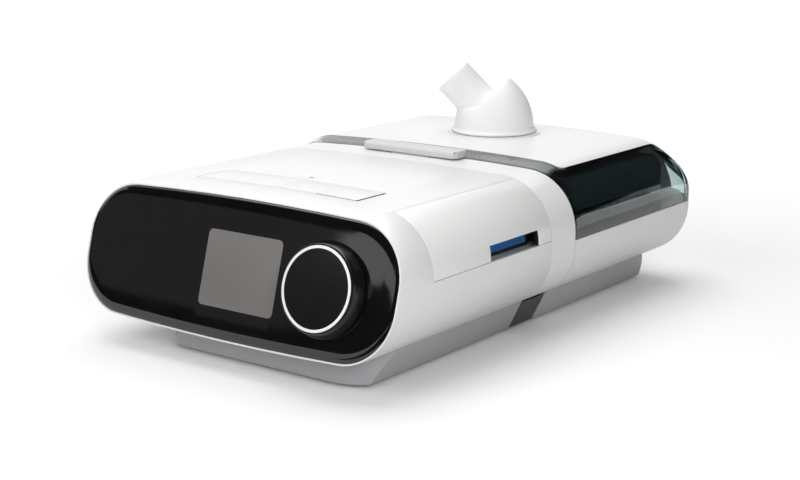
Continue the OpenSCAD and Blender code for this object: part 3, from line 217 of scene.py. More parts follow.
card("Grey_front_card", grey_card, [(-2.0, -0.75, 0.12), (-1.02, -1.455, 0.21),
    (-2.0, -0.75, 0.62), (-1.02, -1.455, 0.62)])
upright("Lit_front_card", lit_card, (-1.06, -1.5), (0.35, -1.75), 0.42, 0.75)
upright("Front_cloth", black_cloth, (-2.6, -1.0), (0.6, -2.6), 0.0, 1.2)
upright("Front_right_cloth", black_cloth, (0.4, -2.2), (2.2, -1.2), 0.0, 1.2)
upright("Left_cloth", black_cloth, (-2.0, -0.9), (-2.0, 0.9), 0.0, 0.4)
# This cloth is seen by transmission rays too, as the window's inner surface also reflects
back_cloth = upright("Back_right_cloth", black_cloth, (-0.5, 2.2), (1.7, 0.4), 0.0, 2.4)
back_cloth.visible_transmission = True
flag = upright("Side_flag", black_cloth, (0.4, 0.5), (0.4, -0.03), 0.0, 0.35)
flag.visible_diffuse = True
flag.visible_glossy = False
upright("Right_cloth", black_cloth, (1.9, 0.5), (1.9, -1.2), 0.6, 2.4)
card("Roof_cloth", black_cloth, [(-2.3, -2.2, 1.2), (1.5, -2.2, 1.2), (-2.3, -0.4, 1.5),
    (1.5, -0.4, 1.5)])
card("Floor_cloth", black_cloth, [(0.03, -0.75, 0.002), (0.6, -0.6, 0.002), (0.03, -0.19, 0.002),
    (0.6, -0.19, 0.002)])


# White mouldings
# The therapy unit's wraparound shell, the rear cover with the docking wall and the side door
# are moulded in white ABS with a fine satin spark finish. Their edges carry the small radius
# that a mould leaves.
white_abs, tree, shader = new_material("Satin_white_ABS", Roughness=0.34, IOR=1.53)
place = add(tree, "ShaderNodeTexCoord")
cloud = add(tree, "ShaderNodeTexNoise", {"Vector": place.outputs["Object"], "Scale": 25.0,
    "Detail": 2.0})
tint = add(tree, "ShaderNodeMix", {"Factor": cloud.outputs["Fac"], "A": linear("#e9e9e8"),
    "B": linear("#ededec")}, data_type="RGBA")
link(tree, tint.outputs["Result"], shader, "Base Color")
# Spark erosion leaves pits of about 0.25 mm, drawn at 0.5 mm so that they show
spark = add(tree, "ShaderNodeTexNoise", {"Vector": place.outputs["Object"], "Scale": 2000.0,
    "Detail": 2.0})
pits = add(tree, "ShaderNodeBump", {"Height": spark.outputs["Fac"], "Strength": 0.12,
    "Distance": 0.00004})
link(tree, pits.outputs["Normal"], shader, "Normal")
gloss = add(tree, "ShaderNodeMapRange", {"Value": cloud.outputs["Fac"], "To Min": 0.30,
    "To Max": 0.38})
link(tree, gloss.outputs["Result"], shader, "Roughness")


def copy_of(node, name):
    """A merged copy of a CAD node's mesh as a new piece, with flat faces made whole."""
    clear()
    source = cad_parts[node]
    made = bpy.data.objects.new(name, source.data.copy())
    bpy.context.scene.collection.objects.link(made)
    made.data.materials.clear()
    bpy.context.view_layer.objects.active = made
    made.select_set(True)
    bpy.ops.object.mode_set(mode="EDIT")
    bpy.ops.mesh.select_all(action="SELECT")
    bpy.ops.mesh.remove_doubles(threshold=0.000004)
    bpy.ops.mesh.customdata_custom_splitnormals_clear()
    bpy.ops.mesh.dissolve_limited(angle_limit=math.radians(0.6))
    bpy.ops.object.mode_set(mode="OBJECT")
    return made


def soften(ob, width, angle=32, segments=2):
    """Rounds the sharp edges by the mould's radius and shades the rest smooth."""
    clear()
    bpy.context.view_layer.objects.active = ob
    ob.select_set(True)
    round_edges = ob.modifiers.new("Mould_radius", "BEVEL")
    round_edges.width = width * MM
    round_edges.segments = segments
    round_edges.limit_method = "ANGLE"
    round_edges.angle_limit = math.radians(angle)
    round_edges.miter_outer = "MITER_ARC"
    bpy.ops.object.modifier_apply(modifier=round_edges.name)
    bpy.ops.object.shade_smooth_by_angle(angle=math.radians(angle))


def fit(ob, material, slot, body, *nodes):
    """Gives a piece its material, hangs it on its body and hides the nodes it stands for."""
    ob.data.materials.append(material)
    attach(ob, body)
    if nodes:
        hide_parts(*nodes)


def start(name):
    """Names the primitive that was just added and opens it for editing with nothing selected."""
    made = bpy.context.object
    made.name = name
    made.data.name = name
    bpy.ops.object.mode_set(mode="EDIT")
    bpy.ops.mesh.select_mode(type="FACE")
    bpy.ops.mesh.select_all(action="DESELECT")
    return made


def pick(ob, kind, test):
    """Selects the faces, edges or verts of the open piece that pass a test of their place."""
    bpy.ops.mesh.select_all(action="DESELECT")
    bpy.ops.mesh.select_mode(type={"faces": "FACE", "edges": "EDGE", "verts": "VERT"}[kind])
    mesh = bmesh.from_edit_mesh(ob.data)
    for part in getattr(mesh, kind):
        part.select_set(bool(test(part)))
    mesh.select_flush_mode()
    bmesh.update_edit_mesh(ob.data)


def close(ob, angle=32):
    """Leaves edit mode, puts the piece's place into its mesh and shades it by angle."""
    bpy.ops.object.mode_set(mode="OBJECT")
    clear()
    bpy.context.view_layer.objects.active = ob
    ob.select_set(True)
    bpy.ops.object.transform_apply(location=True, rotation=True, scale=True)
    bpy.ops.object.shade_smooth_by_angle(angle=math.radians(angle))


def finish_modifiers(ob):
    clear()
    bpy.context.view_layer.objects.active = ob
    ob.select_set(True)
    for step in list(ob.modifiers):
        bpy.ops.object.modifier_apply(modifier=step.name)


def box_at(name, size, place, rounding=0, segments=6):
    """A block at its size and place whose upright edges are rounded."""
    clear()
    bpy.ops.mesh.primitive_cube_add(size=1, scale=[v * MM for v in size],
        location=[v * MM for v in place])
    bpy.ops.object.transform_apply(location=True, rotation=True, scale=True)
    made = start(name)
    if rounding:
        pick(made, "edges", lambda e: abs((e.verts[0].co - e.verts[1].co).normalized().z) > 0.9)
        bpy.ops.mesh.bevel(offset=rounding * MM, offset_type="OFFSET", segments=segments)
    return made


def slab(low, high):
    """A cutting block from its lowest to its highest corner."""
    made = box_at("Slab", [b - a for a, b in zip(low, high)], [(a + b) / 2 for a, b in zip(low, high)])
    bpy.ops.object.mode_set(mode="OBJECT")
    return made


def rod_at(name, radius, depth, place, sides=96):
    """An upright round bar at its size and place."""
    clear()
    bpy.ops.mesh.primitive_cylinder_add(vertices=sides, radius=radius * MM, depth=depth * MM,
        location=[v * MM for v in place])
    bpy.ops.object.transform_apply(location=True, rotation=True, scale=True)
    return start(name)


def combine(ob, tool, how):
    """Adds, keeps or takes away what a second solid covers, then removes that solid."""
    if bpy.context.object.mode != "OBJECT":
        bpy.ops.object.mode_set(mode="OBJECT")
    step = ob.modifiers.new(how, "BOOLEAN")
    step.operation = how
    step.solver = "EXACT"
    step.object = tool
    finish_modifiers(ob)
    bpy.data.objects.remove(tool)


def moulded(name, low_hex, high_hex, grain_scale, rough_low, rough_high, **sockets):
    """A plastic, rubber, foam, felt or metal: speckled, with a roughness that follows the grain.

    The grain is 0.7 to 3 mm, coarser than on real mouldings, so that it shows.
    """
    made, tree, shader = new_material(name, **sockets)
    place = add(tree, "ShaderNodeTexCoord")
    grain = add(tree, "ShaderNodeTexNoise", {"Vector": place.outputs["Object"],
        "Scale": grain_scale, "Detail": 2.0})
    tint = add(tree, "ShaderNodeMix", {"Factor": grain.outputs["Fac"], "A": linear(low_hex),
        "B": linear(high_hex)}, data_type="RGBA")
    link(tree, tint.outputs["Result"], shader, "Base Color")
    rough = add(tree, "ShaderNodeMapRange", {"Value": grain.outputs["Fac"], "To Min": rough_low,
        "To Max": rough_high})
    link(tree, rough.outputs["Result"], shader, "Roughness")
    pits = add(tree, "ShaderNodeBump", {"Height": grain.outputs["Fac"], "Strength": 0.15,
        "Distance": 0.00005})
    link(tree, pits.outputs["Normal"], shader, "Normal")
    return made


dark_abs = moulded("Fine_grained_charcoal_ABS", "#16191a", "#1e2122", 1500, 0.35, 0.5, IOR=1.53)
for node, body, name in (("main_housing", "root", "Housing_shell"),
        ("rear_cover", "root", "Rear_cover_moulding"), ("side_door", "door", "Side_door_moulding")):
    shell = copy_of(node, name)
    if node == "side_door":
        # The bead round the hinge fills the groove up to the outer surface
        low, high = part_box(node)
        bead = rod_at("Hinge_bead", 4.3, (high.y - low.y) / MM - 0.2, (0, 0, 0), 48)
        close(bead)
        bead.data.transform(Matrix.Translation((0.0756, (low.y + high.y) / 2, 0.07515))
            @ Matrix.Rotation(math.radians(90), 4, "X"))
        skin = rod_at("Outer_skin", 28.98, 200, (0, 0, 0), 256)
        close(skin)
        skin.data.transform(Matrix.Translation((0.0675, (low.y + high.y) / 2, 0.050972))
            @ Matrix.Rotation(math.radians(90), 4, "X"))
        combine(bead, skin, "INTERSECT")
        combine(shell, bead, "UNION")
    soften(shell, 0.35)
    fit(shell, white_abs, "white_plastic", body, node)
    if node == "side_door":
        # The inner walls of the air slot are painted charcoal as painted shade, so that the slot reads
        # dark
        shell.data.materials.append(dark_abs)
        for face in shell.data.polygons:
            if abs(face.normal.x) < 0.6 and -63.2 < face.center.y / MM < -20.6 \
                    and face.center.z < low.z + 8.1 * MM:
                face.material_index = 1

# Grey mouldings
# The two lower trays and the bay behind the side door are mid-grey ABS with a coarser,
# almost matt grain, so that scratches from the table don't show.
grey_abs, tree, shader = new_material("Grained_grey_ABS", IOR=1.53)
place = add(tree, "ShaderNodeTexCoord")
grain = add(tree, "ShaderNodeTexNoise", {"Vector": place.outputs["Object"], "Scale": 1200.0,
    "Detail": 3.0})
tint = add(tree, "ShaderNodeMix", {"Factor": grain.outputs["Fac"], "A": linear("#a9aaac"),
    "B": linear("#b4b5b7")}, data_type="RGBA")
link(tree, tint.outputs["Result"], shader, "Base Color")
rough = add(tree, "ShaderNodeMapRange", {"Value": grain.outputs["Fac"], "To Min": 0.42,
    "To Max": 0.58})
link(tree, rough.outputs["Result"], shader, "Roughness")
pits = add(tree, "ShaderNodeBump", {"Height": grain.outputs["Fac"], "Strength": 0.3,
    "Distance": 0.00006})
link(tree, pits.outputs["Normal"], shader, "Normal")
for node, name in (("base_tray", "Unit_plinth_tray"), ("humidifier_tray", "Humidifier_plinth_tray"),
        ("side_bay", "Door_bay")):
    tray = copy_of(node, name)
    if node != "side_bay":
        # Large corner radii, as the tool's parting face leaves them
        low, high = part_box(node)
        former = box_at("Corner_former", (162, 300, 60), (0, 0, 0))
        front_end = node == "base_tray"
        pick(former, "edges", lambda e: abs((e.verts[0].co - e.verts[1].co).normalized().z) > 0.9
            and (e.verts[0].co.y < 0) == front_end)
        bpy.ops.mesh.bevel(offset=0.0268, offset_type="OFFSET", segments=14)
        close(former)
        shift = low.y / MM + 150 if front_end else high.y / MM - 150
        former.data.transform(Matrix.Translation((0, shift * MM, 0.01)))
        combine(tray, former, "INTERSECT")
    soften(tray, 0.4)
    fit(tray, grey_abs, "grey_plastic", "root", node)

# Front panel
# One glossy black moulding with a raised flat face and a sloped border, snapped into the
# shell's lip. A hard coat gives the polycarbonate a piano finish with faint wiping marks.
black_gloss, tree, shader = new_material("Hard_coated_black_polycarbonate", IOR=1.585)
place = add(tree, "ShaderNodeTexCoord")
wipes = add(tree, "ShaderNodeTexNoise", {"Vector": place.outputs["Object"], "Scale": 18.0,
    "Detail": 4.0, "Distortion": 1.5})
tint = add(tree, "ShaderNodeMix", {"Factor": wipes.outputs["Fac"], "A": linear("#0c0b0c"),
    "B": linear("#131213")}, data_type="RGBA")
link(tree, tint.outputs["Result"], shader, "Base Color")
rough = add(tree, "ShaderNodeMapRange", {"Value": wipes.outputs["Fac"], "From Min": 0.35,
    "From Max": 0.75, "To Min": 0.05, "To Max": 0.09})
link(tree, rough.outputs["Result"], shader, "Roughness")
panel_lean = math.radians(16)
up = Vector((0, math.sin(panel_lean), math.cos(panel_lean)))
out = Vector((0, -math.cos(panel_lean), math.sin(panel_lean)))
panel_frame = Matrix((Vector((1, 0, 0)), up, out)).transposed().to_4x4()
panel_frame.translation = Vector((0, -0.134093, 0.0470))
half_l, flat_h, corner, thick = 95.5, 31.5, 26.6, 2.6
panel = box_at("Black_front_panel", (2 * half_l, 2 * flat_h, thick), (0, 0, -thick / 2), corner, 16)
pick(panel, "edges", lambda e: abs(e.verts[0].co.y - e.verts[1].co.y) < 1e-6
    and abs(e.verts[0].co.x - e.verts[1].co.x) > 0.1)
bpy.ops.mesh.subdivide(number_cuts=23)
# The long edges rise 1.4 mm at their middle
for v in bmesh.from_edit_mesh(panel.data).verts:
    reach = half_l - corner
    if abs(v.co.x) < reach * MM and abs(v.co.y) > (flat_h - 0.1) * MM:
        v.co.y += math.copysign(1.4 * MM * (1 - (v.co.x / reach / MM) ** 2), v.co.y)
pick(panel, "faces", lambda f: f.normal.z > 0.9)
# The border rolls over from a steep rim to the flat face
for inward, rise in ((0.5, 0.42), (0.6, 0.34), (0.8, 0.28), (1.1, 0.22), (1.6, 0.18), (2.4, 0.14)):
    bpy.ops.mesh.inset(thickness=inward * MM, depth=rise * MM)
close(panel, 14)
screen_size, screen_place = (45.8, 35.9), (6.7, -0.7)
hole = box_at("Screen_hole", (*[v + 0.1 for v in screen_size], 20), (*screen_place, 0), 2.6)
bpy.ops.object.mode_set(mode="OBJECT")
combine(panel, hole, "DIFFERENCE")
hole = rod_at("Dial_hole", 11, 20, (58, -0.8, 0), 64)
combine(panel, hole, "DIFFERENCE")
clear()
bpy.context.view_layer.objects.active = panel
panel.select_set(True)
bpy.ops.object.shade_smooth_by_angle(angle=math.radians(24))
panel.data.transform(panel_frame)
fit(panel, black_gloss, "black_gloss", "root", "front_panel")

# Humidifier shells
# The humidifier's white base and its lid share one form, which runs straight back from the
# therapy unit and closes in a full, rounded rear end. Both are white ABS, 2.4 mm thick.
middle, half_w, half_h, shoulder, rear = 48.85, 96.5, 35.35, 29, 148.5
seam_z, lid_foot_z = 46.6, 46.9
hinge_place = Matrix.Translation((0, 0.145139, 0.0466))
elbow_x, elbow_y = 2.5, 81.039


def pill_section(inset):
    """Points of the section: quarter circles joined by a slightly crowned top and bottom."""
    w, h, r = half_w - inset, half_h - inset, shoulder - inset
    crown_r = (w - r) ** 2 / 2.8 + 0.7
    lean = math.asin((w - r) / (crown_r - r))
    base = h - crown_r + math.sqrt((crown_r - r) ** 2 - (w - r) ** 2)
    turns = [(math.pi / 2 - lean) * k / 18 for k in range(19)]
    q = [(w - r + r * math.cos(t), base + r * math.sin(t)) for t in turns]
    q += [(crown_r * math.sin(lean * k / 6), h - crown_r + crown_r * math.cos(lean * k / 6))
        for k in range(5, -1, -1)]
    back = q[-2::-1]
    return q + [(-x, z) for x, z in back] + [(-x, -z) for x, z in q] + [(x, -z) for x, z in back]


def narrowing(y, length, amount, power):
    t = max(0, (y - rear + length) / length)
    return amount * (1 - (1 - min(t, 1) ** power) ** (1 / power))


def humidifier_form(name, inset=0):
    """The whole form, or its inside when inset, as one closed solid."""
    points = pill_section(inset)
    front, end = 14.2 + inset, rear - inset
    made = rod_at(name, 50, 1, (0, 0, front + 0.5), len(points))
    mesh = bmesh.from_edit_mesh(made.data)
    for v in mesh.verts:
        turn = math.atan2(v.co.y, v.co.x) % (2 * math.pi)
        x, z = points[int(turn / (2 * math.pi) * len(points))]
        v.co = (x * MM, z * MM * (0.9208 if z > 0 else 1), (front if v.co.z < (front + 0.5) * MM
            else front + 0.01) * MM)
    pick(made, "faces", lambda f: f.normal.z > 0.9)
    here, wide, high, deep = front + 0.01, half_w, half_h * 0.9208, half_h
    for y in [23.84, end - 50, end - 31] + [end - 30 + 30 * math.sin(k * math.pi / 36)
            for k in range(1, 19)]:
        bpy.ops.mesh.extrude_region_move(TRANSFORM_OT_translate={"value": (0, 0, (y - here) * MM)})
        new = (half_w - narrowing(y + inset, 12, 22, 2), half_h - narrowing(y + inset, 30, 32, 1.8),
            half_h - narrowing(y + inset, 12, 22, 2.2))
        for v in bmesh.from_edit_mesh(made.data).verts:
            if v.select:
                v.co.x *= new[0] / wide
                v.co.y *= new[1] / high if v.co.y > 0 else new[2] / deep
        bmesh.update_edit_mesh(made.data)
        here, (wide, high, deep) = y, new
    close(made)
    made.data.transform(Matrix(((-1, 0, 0, 0), (0, 0, 1, 0), (0, 1, 0, middle * MM), (0, 0, 0, 1))))
    return made


def humidifier_wall(name):
    made = humidifier_form(name)
    combine(made, humidifier_form("Inside", 2.4), "DIFFERENCE")
    return made


base = humidifier_wall("Humidifier_base_shell")
combine(base, slab((-200, 0, 0), (200, 200, seam_z)), "INTERSECT")
combine(base, slab((-60, 40, 0), (60, 124, 20)), "DIFFERENCE")
combine(base, slab((-91, 10, 16.5), (91, 17, 60)), "DIFFERENCE")
near = copy_of("humidifier_base", "Straight_run")
combine(near, slab((-91, -50, 0), (91, 116, 60)), "INTERSECT")
combine(base, near, "UNION")
hinge = rod_at("Hinge_relief", 4.9, 200, (0, 0, 0), 64)
close(hinge)
hinge.data.transform(hinge_place @ Matrix.Rotation(math.pi / 2, 4, "Y"))
combine(hinge, slab((-97, 144.6, 20), (97, 160, 60)), "INTERSECT")
combine(base, hinge, "DIFFERENCE")
socket = rod_at("Socket_hole", 5.2, 30, (0, 0, 0), 48)
close(socket)
socket.data.transform(Matrix.Translation((-0.022, 0.140, 0.034)) @ Matrix.Rotation(math.pi / 2, 4, "X"))
combine(base, socket, "DIFFERENCE")
ears = copy_of("humidifier_base", "Hinge_ears")
combine(ears, slab((-60, 141.6, 34.4), (60, 160, 52)), "INTERSECT")
combine(base, ears, "UNION")
soften(base, 0.3)
fit(base, white_abs, "white_plastic", "root", "humidifier_base")

# Lid
# A white ABS cover and one teal-tinted clear polycarbonate moulding, which makes the strip
# across the front, the front wall and the side windows. The tint is in the plastic itself, so
# it is faint through the wall and deep along the edges.
cover = humidifier_wall("Lid_cover_moulding")
combine(cover, slab((-200, 0, lid_foot_z), (200, 200, 200)), "INTERSECT")
cover_plan = box_at("Cover_plan", (160.4, 180, 60), (0, 23.84 + 90, 96), 5, 4)
close(cover_plan)
combine(cover_plan, slab((-80.2, 134.5, 0), (80.2, 200, 100)), "UNION")
window_cut = cover_plan.copy()
window_cut.data = cover_plan.data.copy()
bpy.context.scene.collection.objects.link(window_cut)
combine(cover, cover_plan, "INTERSECT")
seat_hole = rod_at("Elbow_hole", 22, 40, (elbow_x, elbow_y, 80))
close(seat_hole)
combine(cover, seat_hole, "DIFFERENCE")
# The elbow's seat and the hinge's bead come from the solid
for low, high in (((-26, 52, 60), (31, 110, 100)), ((-97, 141.7, 40), (97, 160, 50.1))):
    detail = copy_of("lid_cover", "Cover_detail")
    combine(detail, slab(low, high), "INTERSECT")
    if low[2] == 60:
        ring = rod_at("Seat_ring", 25.9, 60, (elbow_x, elbow_y, 80))
        close(ring)
        combine(detail, ring, "INTERSECT")
    else:
        combine(detail, humidifier_form("Outer_form", 0.05), "INTERSECT")
    combine(cover, detail, "UNION")


def corner_bead(low, high, radius):
    """A length of the hinge's bead, as far as the outer form goes, from one x to another."""
    bead = rod_at("Corner_bead", radius, high - low, (0, 0, 0), 48)
    close(bead)
    bead.data.transform(Matrix.Translation(((low + high) / 2 * MM, 0, 0)) @ hinge_place
        @ Matrix.Rotation(math.pi / 2, 4, "Y"))
    combine(bead, slab((-97, 141.5, 30), (97, 160, 60)), "INTERSECT")
    combine(bead, humidifier_form("Outer_form", 0.05), "INTERSECT")
    return bead


combine(cover, corner_bead(-97, -70, 4.4), "UNION")
combine(cover, corner_bead(70, 97, 4.4), "UNION")
soften(cover, 0.3)
fit(cover, white_abs, "white_plastic", "lid", "lid_cover")

tinted_pc, tree, shader = new_material("Teal_tinted_polycarbonate", IOR=1.585, Roughness=0.02)
shader.inputs["Transmission Weight"].default_value = 1.0
place = add(tree, "ShaderNodeTexCoord")
flow = add(tree, "ShaderNodeTexNoise", {"Vector": place.outputs["Object"], "Scale": 12.0})
tint = add(tree, "ShaderNodeMix", {"Factor": flow.outputs["Fac"], "A": linear("#f0f8f8"),
    "B": linear("#f6fafa")}, data_type="RGBA")
link(tree, tint.outputs["Result"], shader, "Base Color")
absorb = add(tree, "ShaderNodeVolumeAbsorption")
absorb.inputs["Color"].default_value = (0.16, 0.46, 0.48, 1)
absorb.inputs["Density"].default_value = 90
tree.links.new(absorb.outputs["Volume"], tree.nodes["Material Output"].inputs["Volume"])
window = humidifier_wall("Tinted_lid_window")
combine(window, slab((-200, 0, lid_foot_z), (200, 200, 200)), "INTERSECT")
combine(window, window_cut, "DIFFERENCE")
combine(window, corner_bead(-98, 98, 4.5), "DIFFERENCE")
soften(window, 0.3)
fit(window, tinted_pc, "tinted_clear", "lid", "lid_window")

# Tank and dry box
# A clear polycarbonate tub on a metal base stands in a grey liner under a charcoal lid, all
# moulded. The colours of lid and liner are chosen by how the tinted window looks over them.
clear_pc, tree, shader = new_material("Clear_polycarbonate", IOR=1.585, Roughness=0.05)
shader.inputs["Transmission Weight"].default_value = 1.0
place = add(tree, "ShaderNodeTexCoord")
flow = add(tree, "ShaderNodeTexNoise", {"Vector": place.outputs["Object"], "Scale": 15.0})
tint = add(tree, "ShaderNodeMix", {"Factor": flow.outputs["Fac"], "A": linear("#eef3f4"),
    "B": linear("#f4f8f8")}, data_type="RGBA")
link(tree, tint.outputs["Result"], shader, "Base Color")
tub = copy_of("water_tub", "Clear_water_tub")
soften(tub, 0.3)
fit(tub, clear_pc, "clear_plastic", "root", "water_tub")


def dress(material, *nodes):
    for node in nodes:
        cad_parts[node].data.materials.clear()
        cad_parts[node].data.materials.append(material)


liner = moulded("Mid_grey_polypropylene", "#8b9295", "#979ea1", 1200, 0.3, 0.4, IOR=1.49)
matt_charcoal = moulded("Matt_charcoal_polypropylene", "#242d2f", "#2c3638", 1500, 0.7, 0.85,
    Specular_IOR_Level=0.15)
for node, name, material in (("tank_lid", "Tank_lid_moulding", matt_charcoal),
        ("dry_box", "Dry_box_liner", liner), ("power_inlet", "Power_socket", dark_abs)):
    piece = copy_of(node, name)
    soften(piece, 0.3)
    fit(piece, material, "dark_plastic", "root", node)
dress(dark_abs, "lcd_module", "light_sensor_lens", "filter_frame", "inlet_duct", "sd_card",
    "release_button", "blower_base", "blower_cover", "elbow_clip")

# Soft and inner parts
# Silicone seals, mounts and feet are matt; screws, pins and springs are bright zinc-plated
# steel; the heater is brushed aluminium; boards are green; foam and felt are open and matt.
silicone = moulded("Dark_silicone_rubber", "#1d1e1f", "#252627", 900, 0.55, 0.7, IOR=1.41)
dress(silicone, "blower_mounts", "outlet_duct", "unit_feet", "dock_seal", "tank_seal", "lid_seal",
    "outlet_seal", "humidifier_feet")
zinc = moulded("Zinc_plated_steel", "#b4b7ba", "#c6c9cb", 600, 0.22, 0.38, Metallic=1.0)
dress(zinc, "display_screws", "encoder_body", "dial_plunger", "button_board_screws", "door_pins",
    "sd_reader", "blower_motor", "unit_screws", "heater_springs", "lid_pins", "humidifier_screws")
brushed = moulded("Brushed_aluminium", "#c9cacc", "#dcdddf", 400, 0.28, 0.42, Metallic=1.0)
dress(brushed, "heater_plate", "heater_bracket", "tank_plate")
mask = moulded("Green_solder_mask", "#0f4a2a", "#155833", 300, 0.3, 0.4, IOR=1.5)
dress(mask, "display_board", "button_board", "button_switches", "main_board")
foam = moulded("Charcoal_open_cell_foam", "#1c1d1e", "#3a3c3d", 500, 0.9, 1.0)
dress(foam, "muffler_foam")
felt = moulded("Blue_needled_felt", "#2468ac", "#3c8cdc", 700, 0.85, 0.95, Sheen_Weight=0.2)
dress(felt, "pollen_filter")
wheel_pbt = moulded("Natural_glass_filled_PBT", "#c9c6bd", "#d6d3ca", 600, 0.4, 0.55, IOR=1.55)
dress(wheel_pbt, "blower_wheel")

# Top buttons
# A pair of broad keys in the shell's own white plastic, cut flush into its top: ramp on the
# left and therapy on the right. Their tops are bare.
for node, body, name in (("ramp_button", "ramp", "Ramp_key"),
        ("therapy_button", "therapy", "Therapy_key")):
    key = copy_of(node, name)
    # The front edge stands back a little, so its gap reads as a fine line
    front = min(v.co.y for v in key.data.vertices)
    for v in key.data.vertices:
        if v.co.y < front + 0.0004:
            v.co.y += 0.0007
    soften(key, 0.3)
    fit(key, white_abs, "white_plastic", body, node)
    # The key's skirt is painted charcoal as painted shade, which draws the gap round it
    key.data.materials.append(dark_abs)
    top = max(v.co.z for v in key.data.vertices) - 0.0016
    for face in key.data.polygons:
        if abs(face.normal.z) < 0.5 and face.center.z < top:
            face.material_index = 1

# Dial
# A satin black cap that turns and presses. Its side flares to the foot, its rim is rounded,
# and a white ring is let into its face near the rim.
satin_black, tree, shader = new_material("Satin_black_soft_coat", IOR=1.5, Specular_IOR_Level=0.34)
place = add(tree, "ShaderNodeTexCoord")
wear = add(tree, "ShaderNodeTexNoise", {"Vector": place.outputs["Object"], "Scale": 120.0,
    "Detail": 3.0})
tint = add(tree, "ShaderNodeMix", {"Factor": wear.outputs["Fac"], "A": linear("#131213"),
    "B": linear("#181718")}, data_type="RGBA")
link(tree, tint.outputs["Result"], shader, "Base Color")
rough = add(tree, "ShaderNodeMapRange", {"Value": wear.outputs["Fac"], "To Min": 0.12,
    "To Max": 0.18})
link(tree, rough.outputs["Result"], shader, "Roughness")


def turned(name, foot, steps, sides=160):
    """A round body built up from its foot by rings of (radius, height) in millimetres."""
    radius, bottom, top = foot
    made = rod_at(name, radius, top - bottom, (0, 0, (top + bottom) / 2), sides)
    pick(made, "faces", lambda f: f.normal.z > 0.9)
    for next_radius, height in steps:
        bpy.ops.mesh.extrude_region_move(TRANSFORM_OT_translate={"value": (0, 0, (height - top) * MM)})
        bpy.ops.transform.resize(value=(next_radius / radius, next_radius / radius, 1))
        radius, top = next_radius, height
    return made


dial_place = Matrix.Translation((0.058, -0.0008, 0))
knob = turned("Dial_cap", (22, 2.1, 2.5), ((21.95, 3.0), (21.7, 4.0), (21.2, 5.6), (20.7, 7.2),
    (20.35, 8.2), (20.1, 8.65), (19.75, 8.9), (19.3, 9.0), (19.28, 8.6), (17.92, 8.6),
    (17.9, 9.0), (16.5, 9.0)))
close(knob, 40)
knob.data.transform(panel_frame @ dial_place)
fit(knob, satin_black, "black_gloss", "dial", "dial_knob")
ring_paint, tree, shader = new_material("White_painted_ring", Roughness=0.32, IOR=1.5)
place = add(tree, "ShaderNodeTexCoord")
cloud = add(tree, "ShaderNodeTexNoise", {"Vector": place.outputs["Object"], "Scale": 300.0})
tint = add(tree, "ShaderNodeMix", {"Factor": cloud.outputs["Fac"], "A": linear("#f4f4f4"),
    "B": linear("#fafafa")}, data_type="RGBA")
link(tree, tint.outputs["Result"], shader, "Base Color")
ring = turned("Dial_ring_inlay", (19.26, 8.62, 9.0), ((19.2, 9.1), (19.0, 9.15), (18.1, 9.15)))
close(ring, 40)
bore = rod_at("Ring_bore", 17.94, 10, (0, 0, 9), 160)
combine(ring, bore, "DIFFERENCE")
close(ring, 40)
ring.data.transform(panel_frame @ dial_place)
fit(ring, ring_paint, "ring_white", "dial", "dial_ring")

# Outlet elbow
# A swivelling elbow of natural polypropylene: flange, pointed dome and 22 mm hose tube in one
# moulding. It is milky, so light spreads in it and its edges look soft.
milky_pp, tree, shader = new_material("Natural_polypropylene", IOR=1.49, Roughness=0.34)
place = add(tree, "ShaderNodeTexCoord")
cloud = add(tree, "ShaderNodeTexNoise", {"Vector": place.outputs["Object"], "Scale": 60.0})
tint = add(tree, "ShaderNodeMix", {"Factor": cloud.outputs["Fac"], "A": linear("#f3f3f3"),
    "B": linear("#f7f7f7")}, data_type="RGBA")
link(tree, tint.outputs["Result"], shader, "Base Color")
shader.inputs["Subsurface Weight"].default_value = 0.35
shader.inputs["Subsurface Radius"].default_value = (0.004, 0.004, 0.004)
shader.inputs["Subsurface Scale"].default_value = 1.0
rises = [k * 1.8 for k in range(1, 17)]
elbow = turned("Outlet_elbow", (24.3, 84.72, 86.0), [(24.0, 86.5), (22.6, 86.7), (22.2, 87.4)]
    + [(math.sqrt(36 ** 2 - (h * 1.04) ** 2) - 13.7, 87.4 + h) for h in rises]
    + [(1.2, 117.4), (0.5, 117.6)], 96)
close(elbow)
tube_turn = (Matrix.Translation((0, 0, 0.0916)) @ Matrix.Rotation(math.radians(27), 4, "Z")
    @ Matrix.Rotation(math.radians(-45), 4, "Y"))
cut = slab((0, -60, 11.3), (60, 60, 71))
cut.data.transform(tube_turn)
combine(elbow, cut, "DIFFERENCE")
cut = slab((-60, -60, 0), (0, 60, 60))
cut.data.transform(tube_turn @ Matrix.Translation((0, 0, 0.0113)) @ Matrix.Rotation(0.62, 4, "Y"))
combine(elbow, cut, "DIFFERENCE")
tube = rod_at("Hose_tube", 11.1, 34, (0, 0, 17))
close(tube)
tube.data.transform(tube_turn)
combine(elbow, tube, "UNION")
spigot = rod_at("Spigot", 19.7, 8.5, (0, 0, 81.4))
close(spigot)
combine(elbow, spigot, "UNION")
skin = elbow.modifiers.new("Skin", "REMESH")
skin.mode = "VOXEL"
skin.voxel_size = 0.0007
melt = elbow.modifiers.new("Melt", "SMOOTH")
melt.factor = 0.5
melt.iterations = 16
finish_modifiers(elbow)
bore = rod_at("Tube_bore", 9.2, 60, (0, 0, 30))
close(bore)
bore.data.transform(tube_turn)
combine(elbow, bore, "DIFFERENCE")
bore = rod_at("Spigot_bore", 16, 20, (0, 0, 80.6))
close(bore)
combine(elbow, bore, "DIFFERENCE")
elbow.data.transform(Matrix.Translation((elbow_x * MM, elbow_y * MM, 0)))
clear()
bpy.context.view_layer.objects.active = elbow
elbow.select_set(True)
bpy.ops.object.shade_smooth_by_angle(angle=math.radians(50))
fit(elbow, milky_pp, "elbow_plastic", "elbow", "elbow")

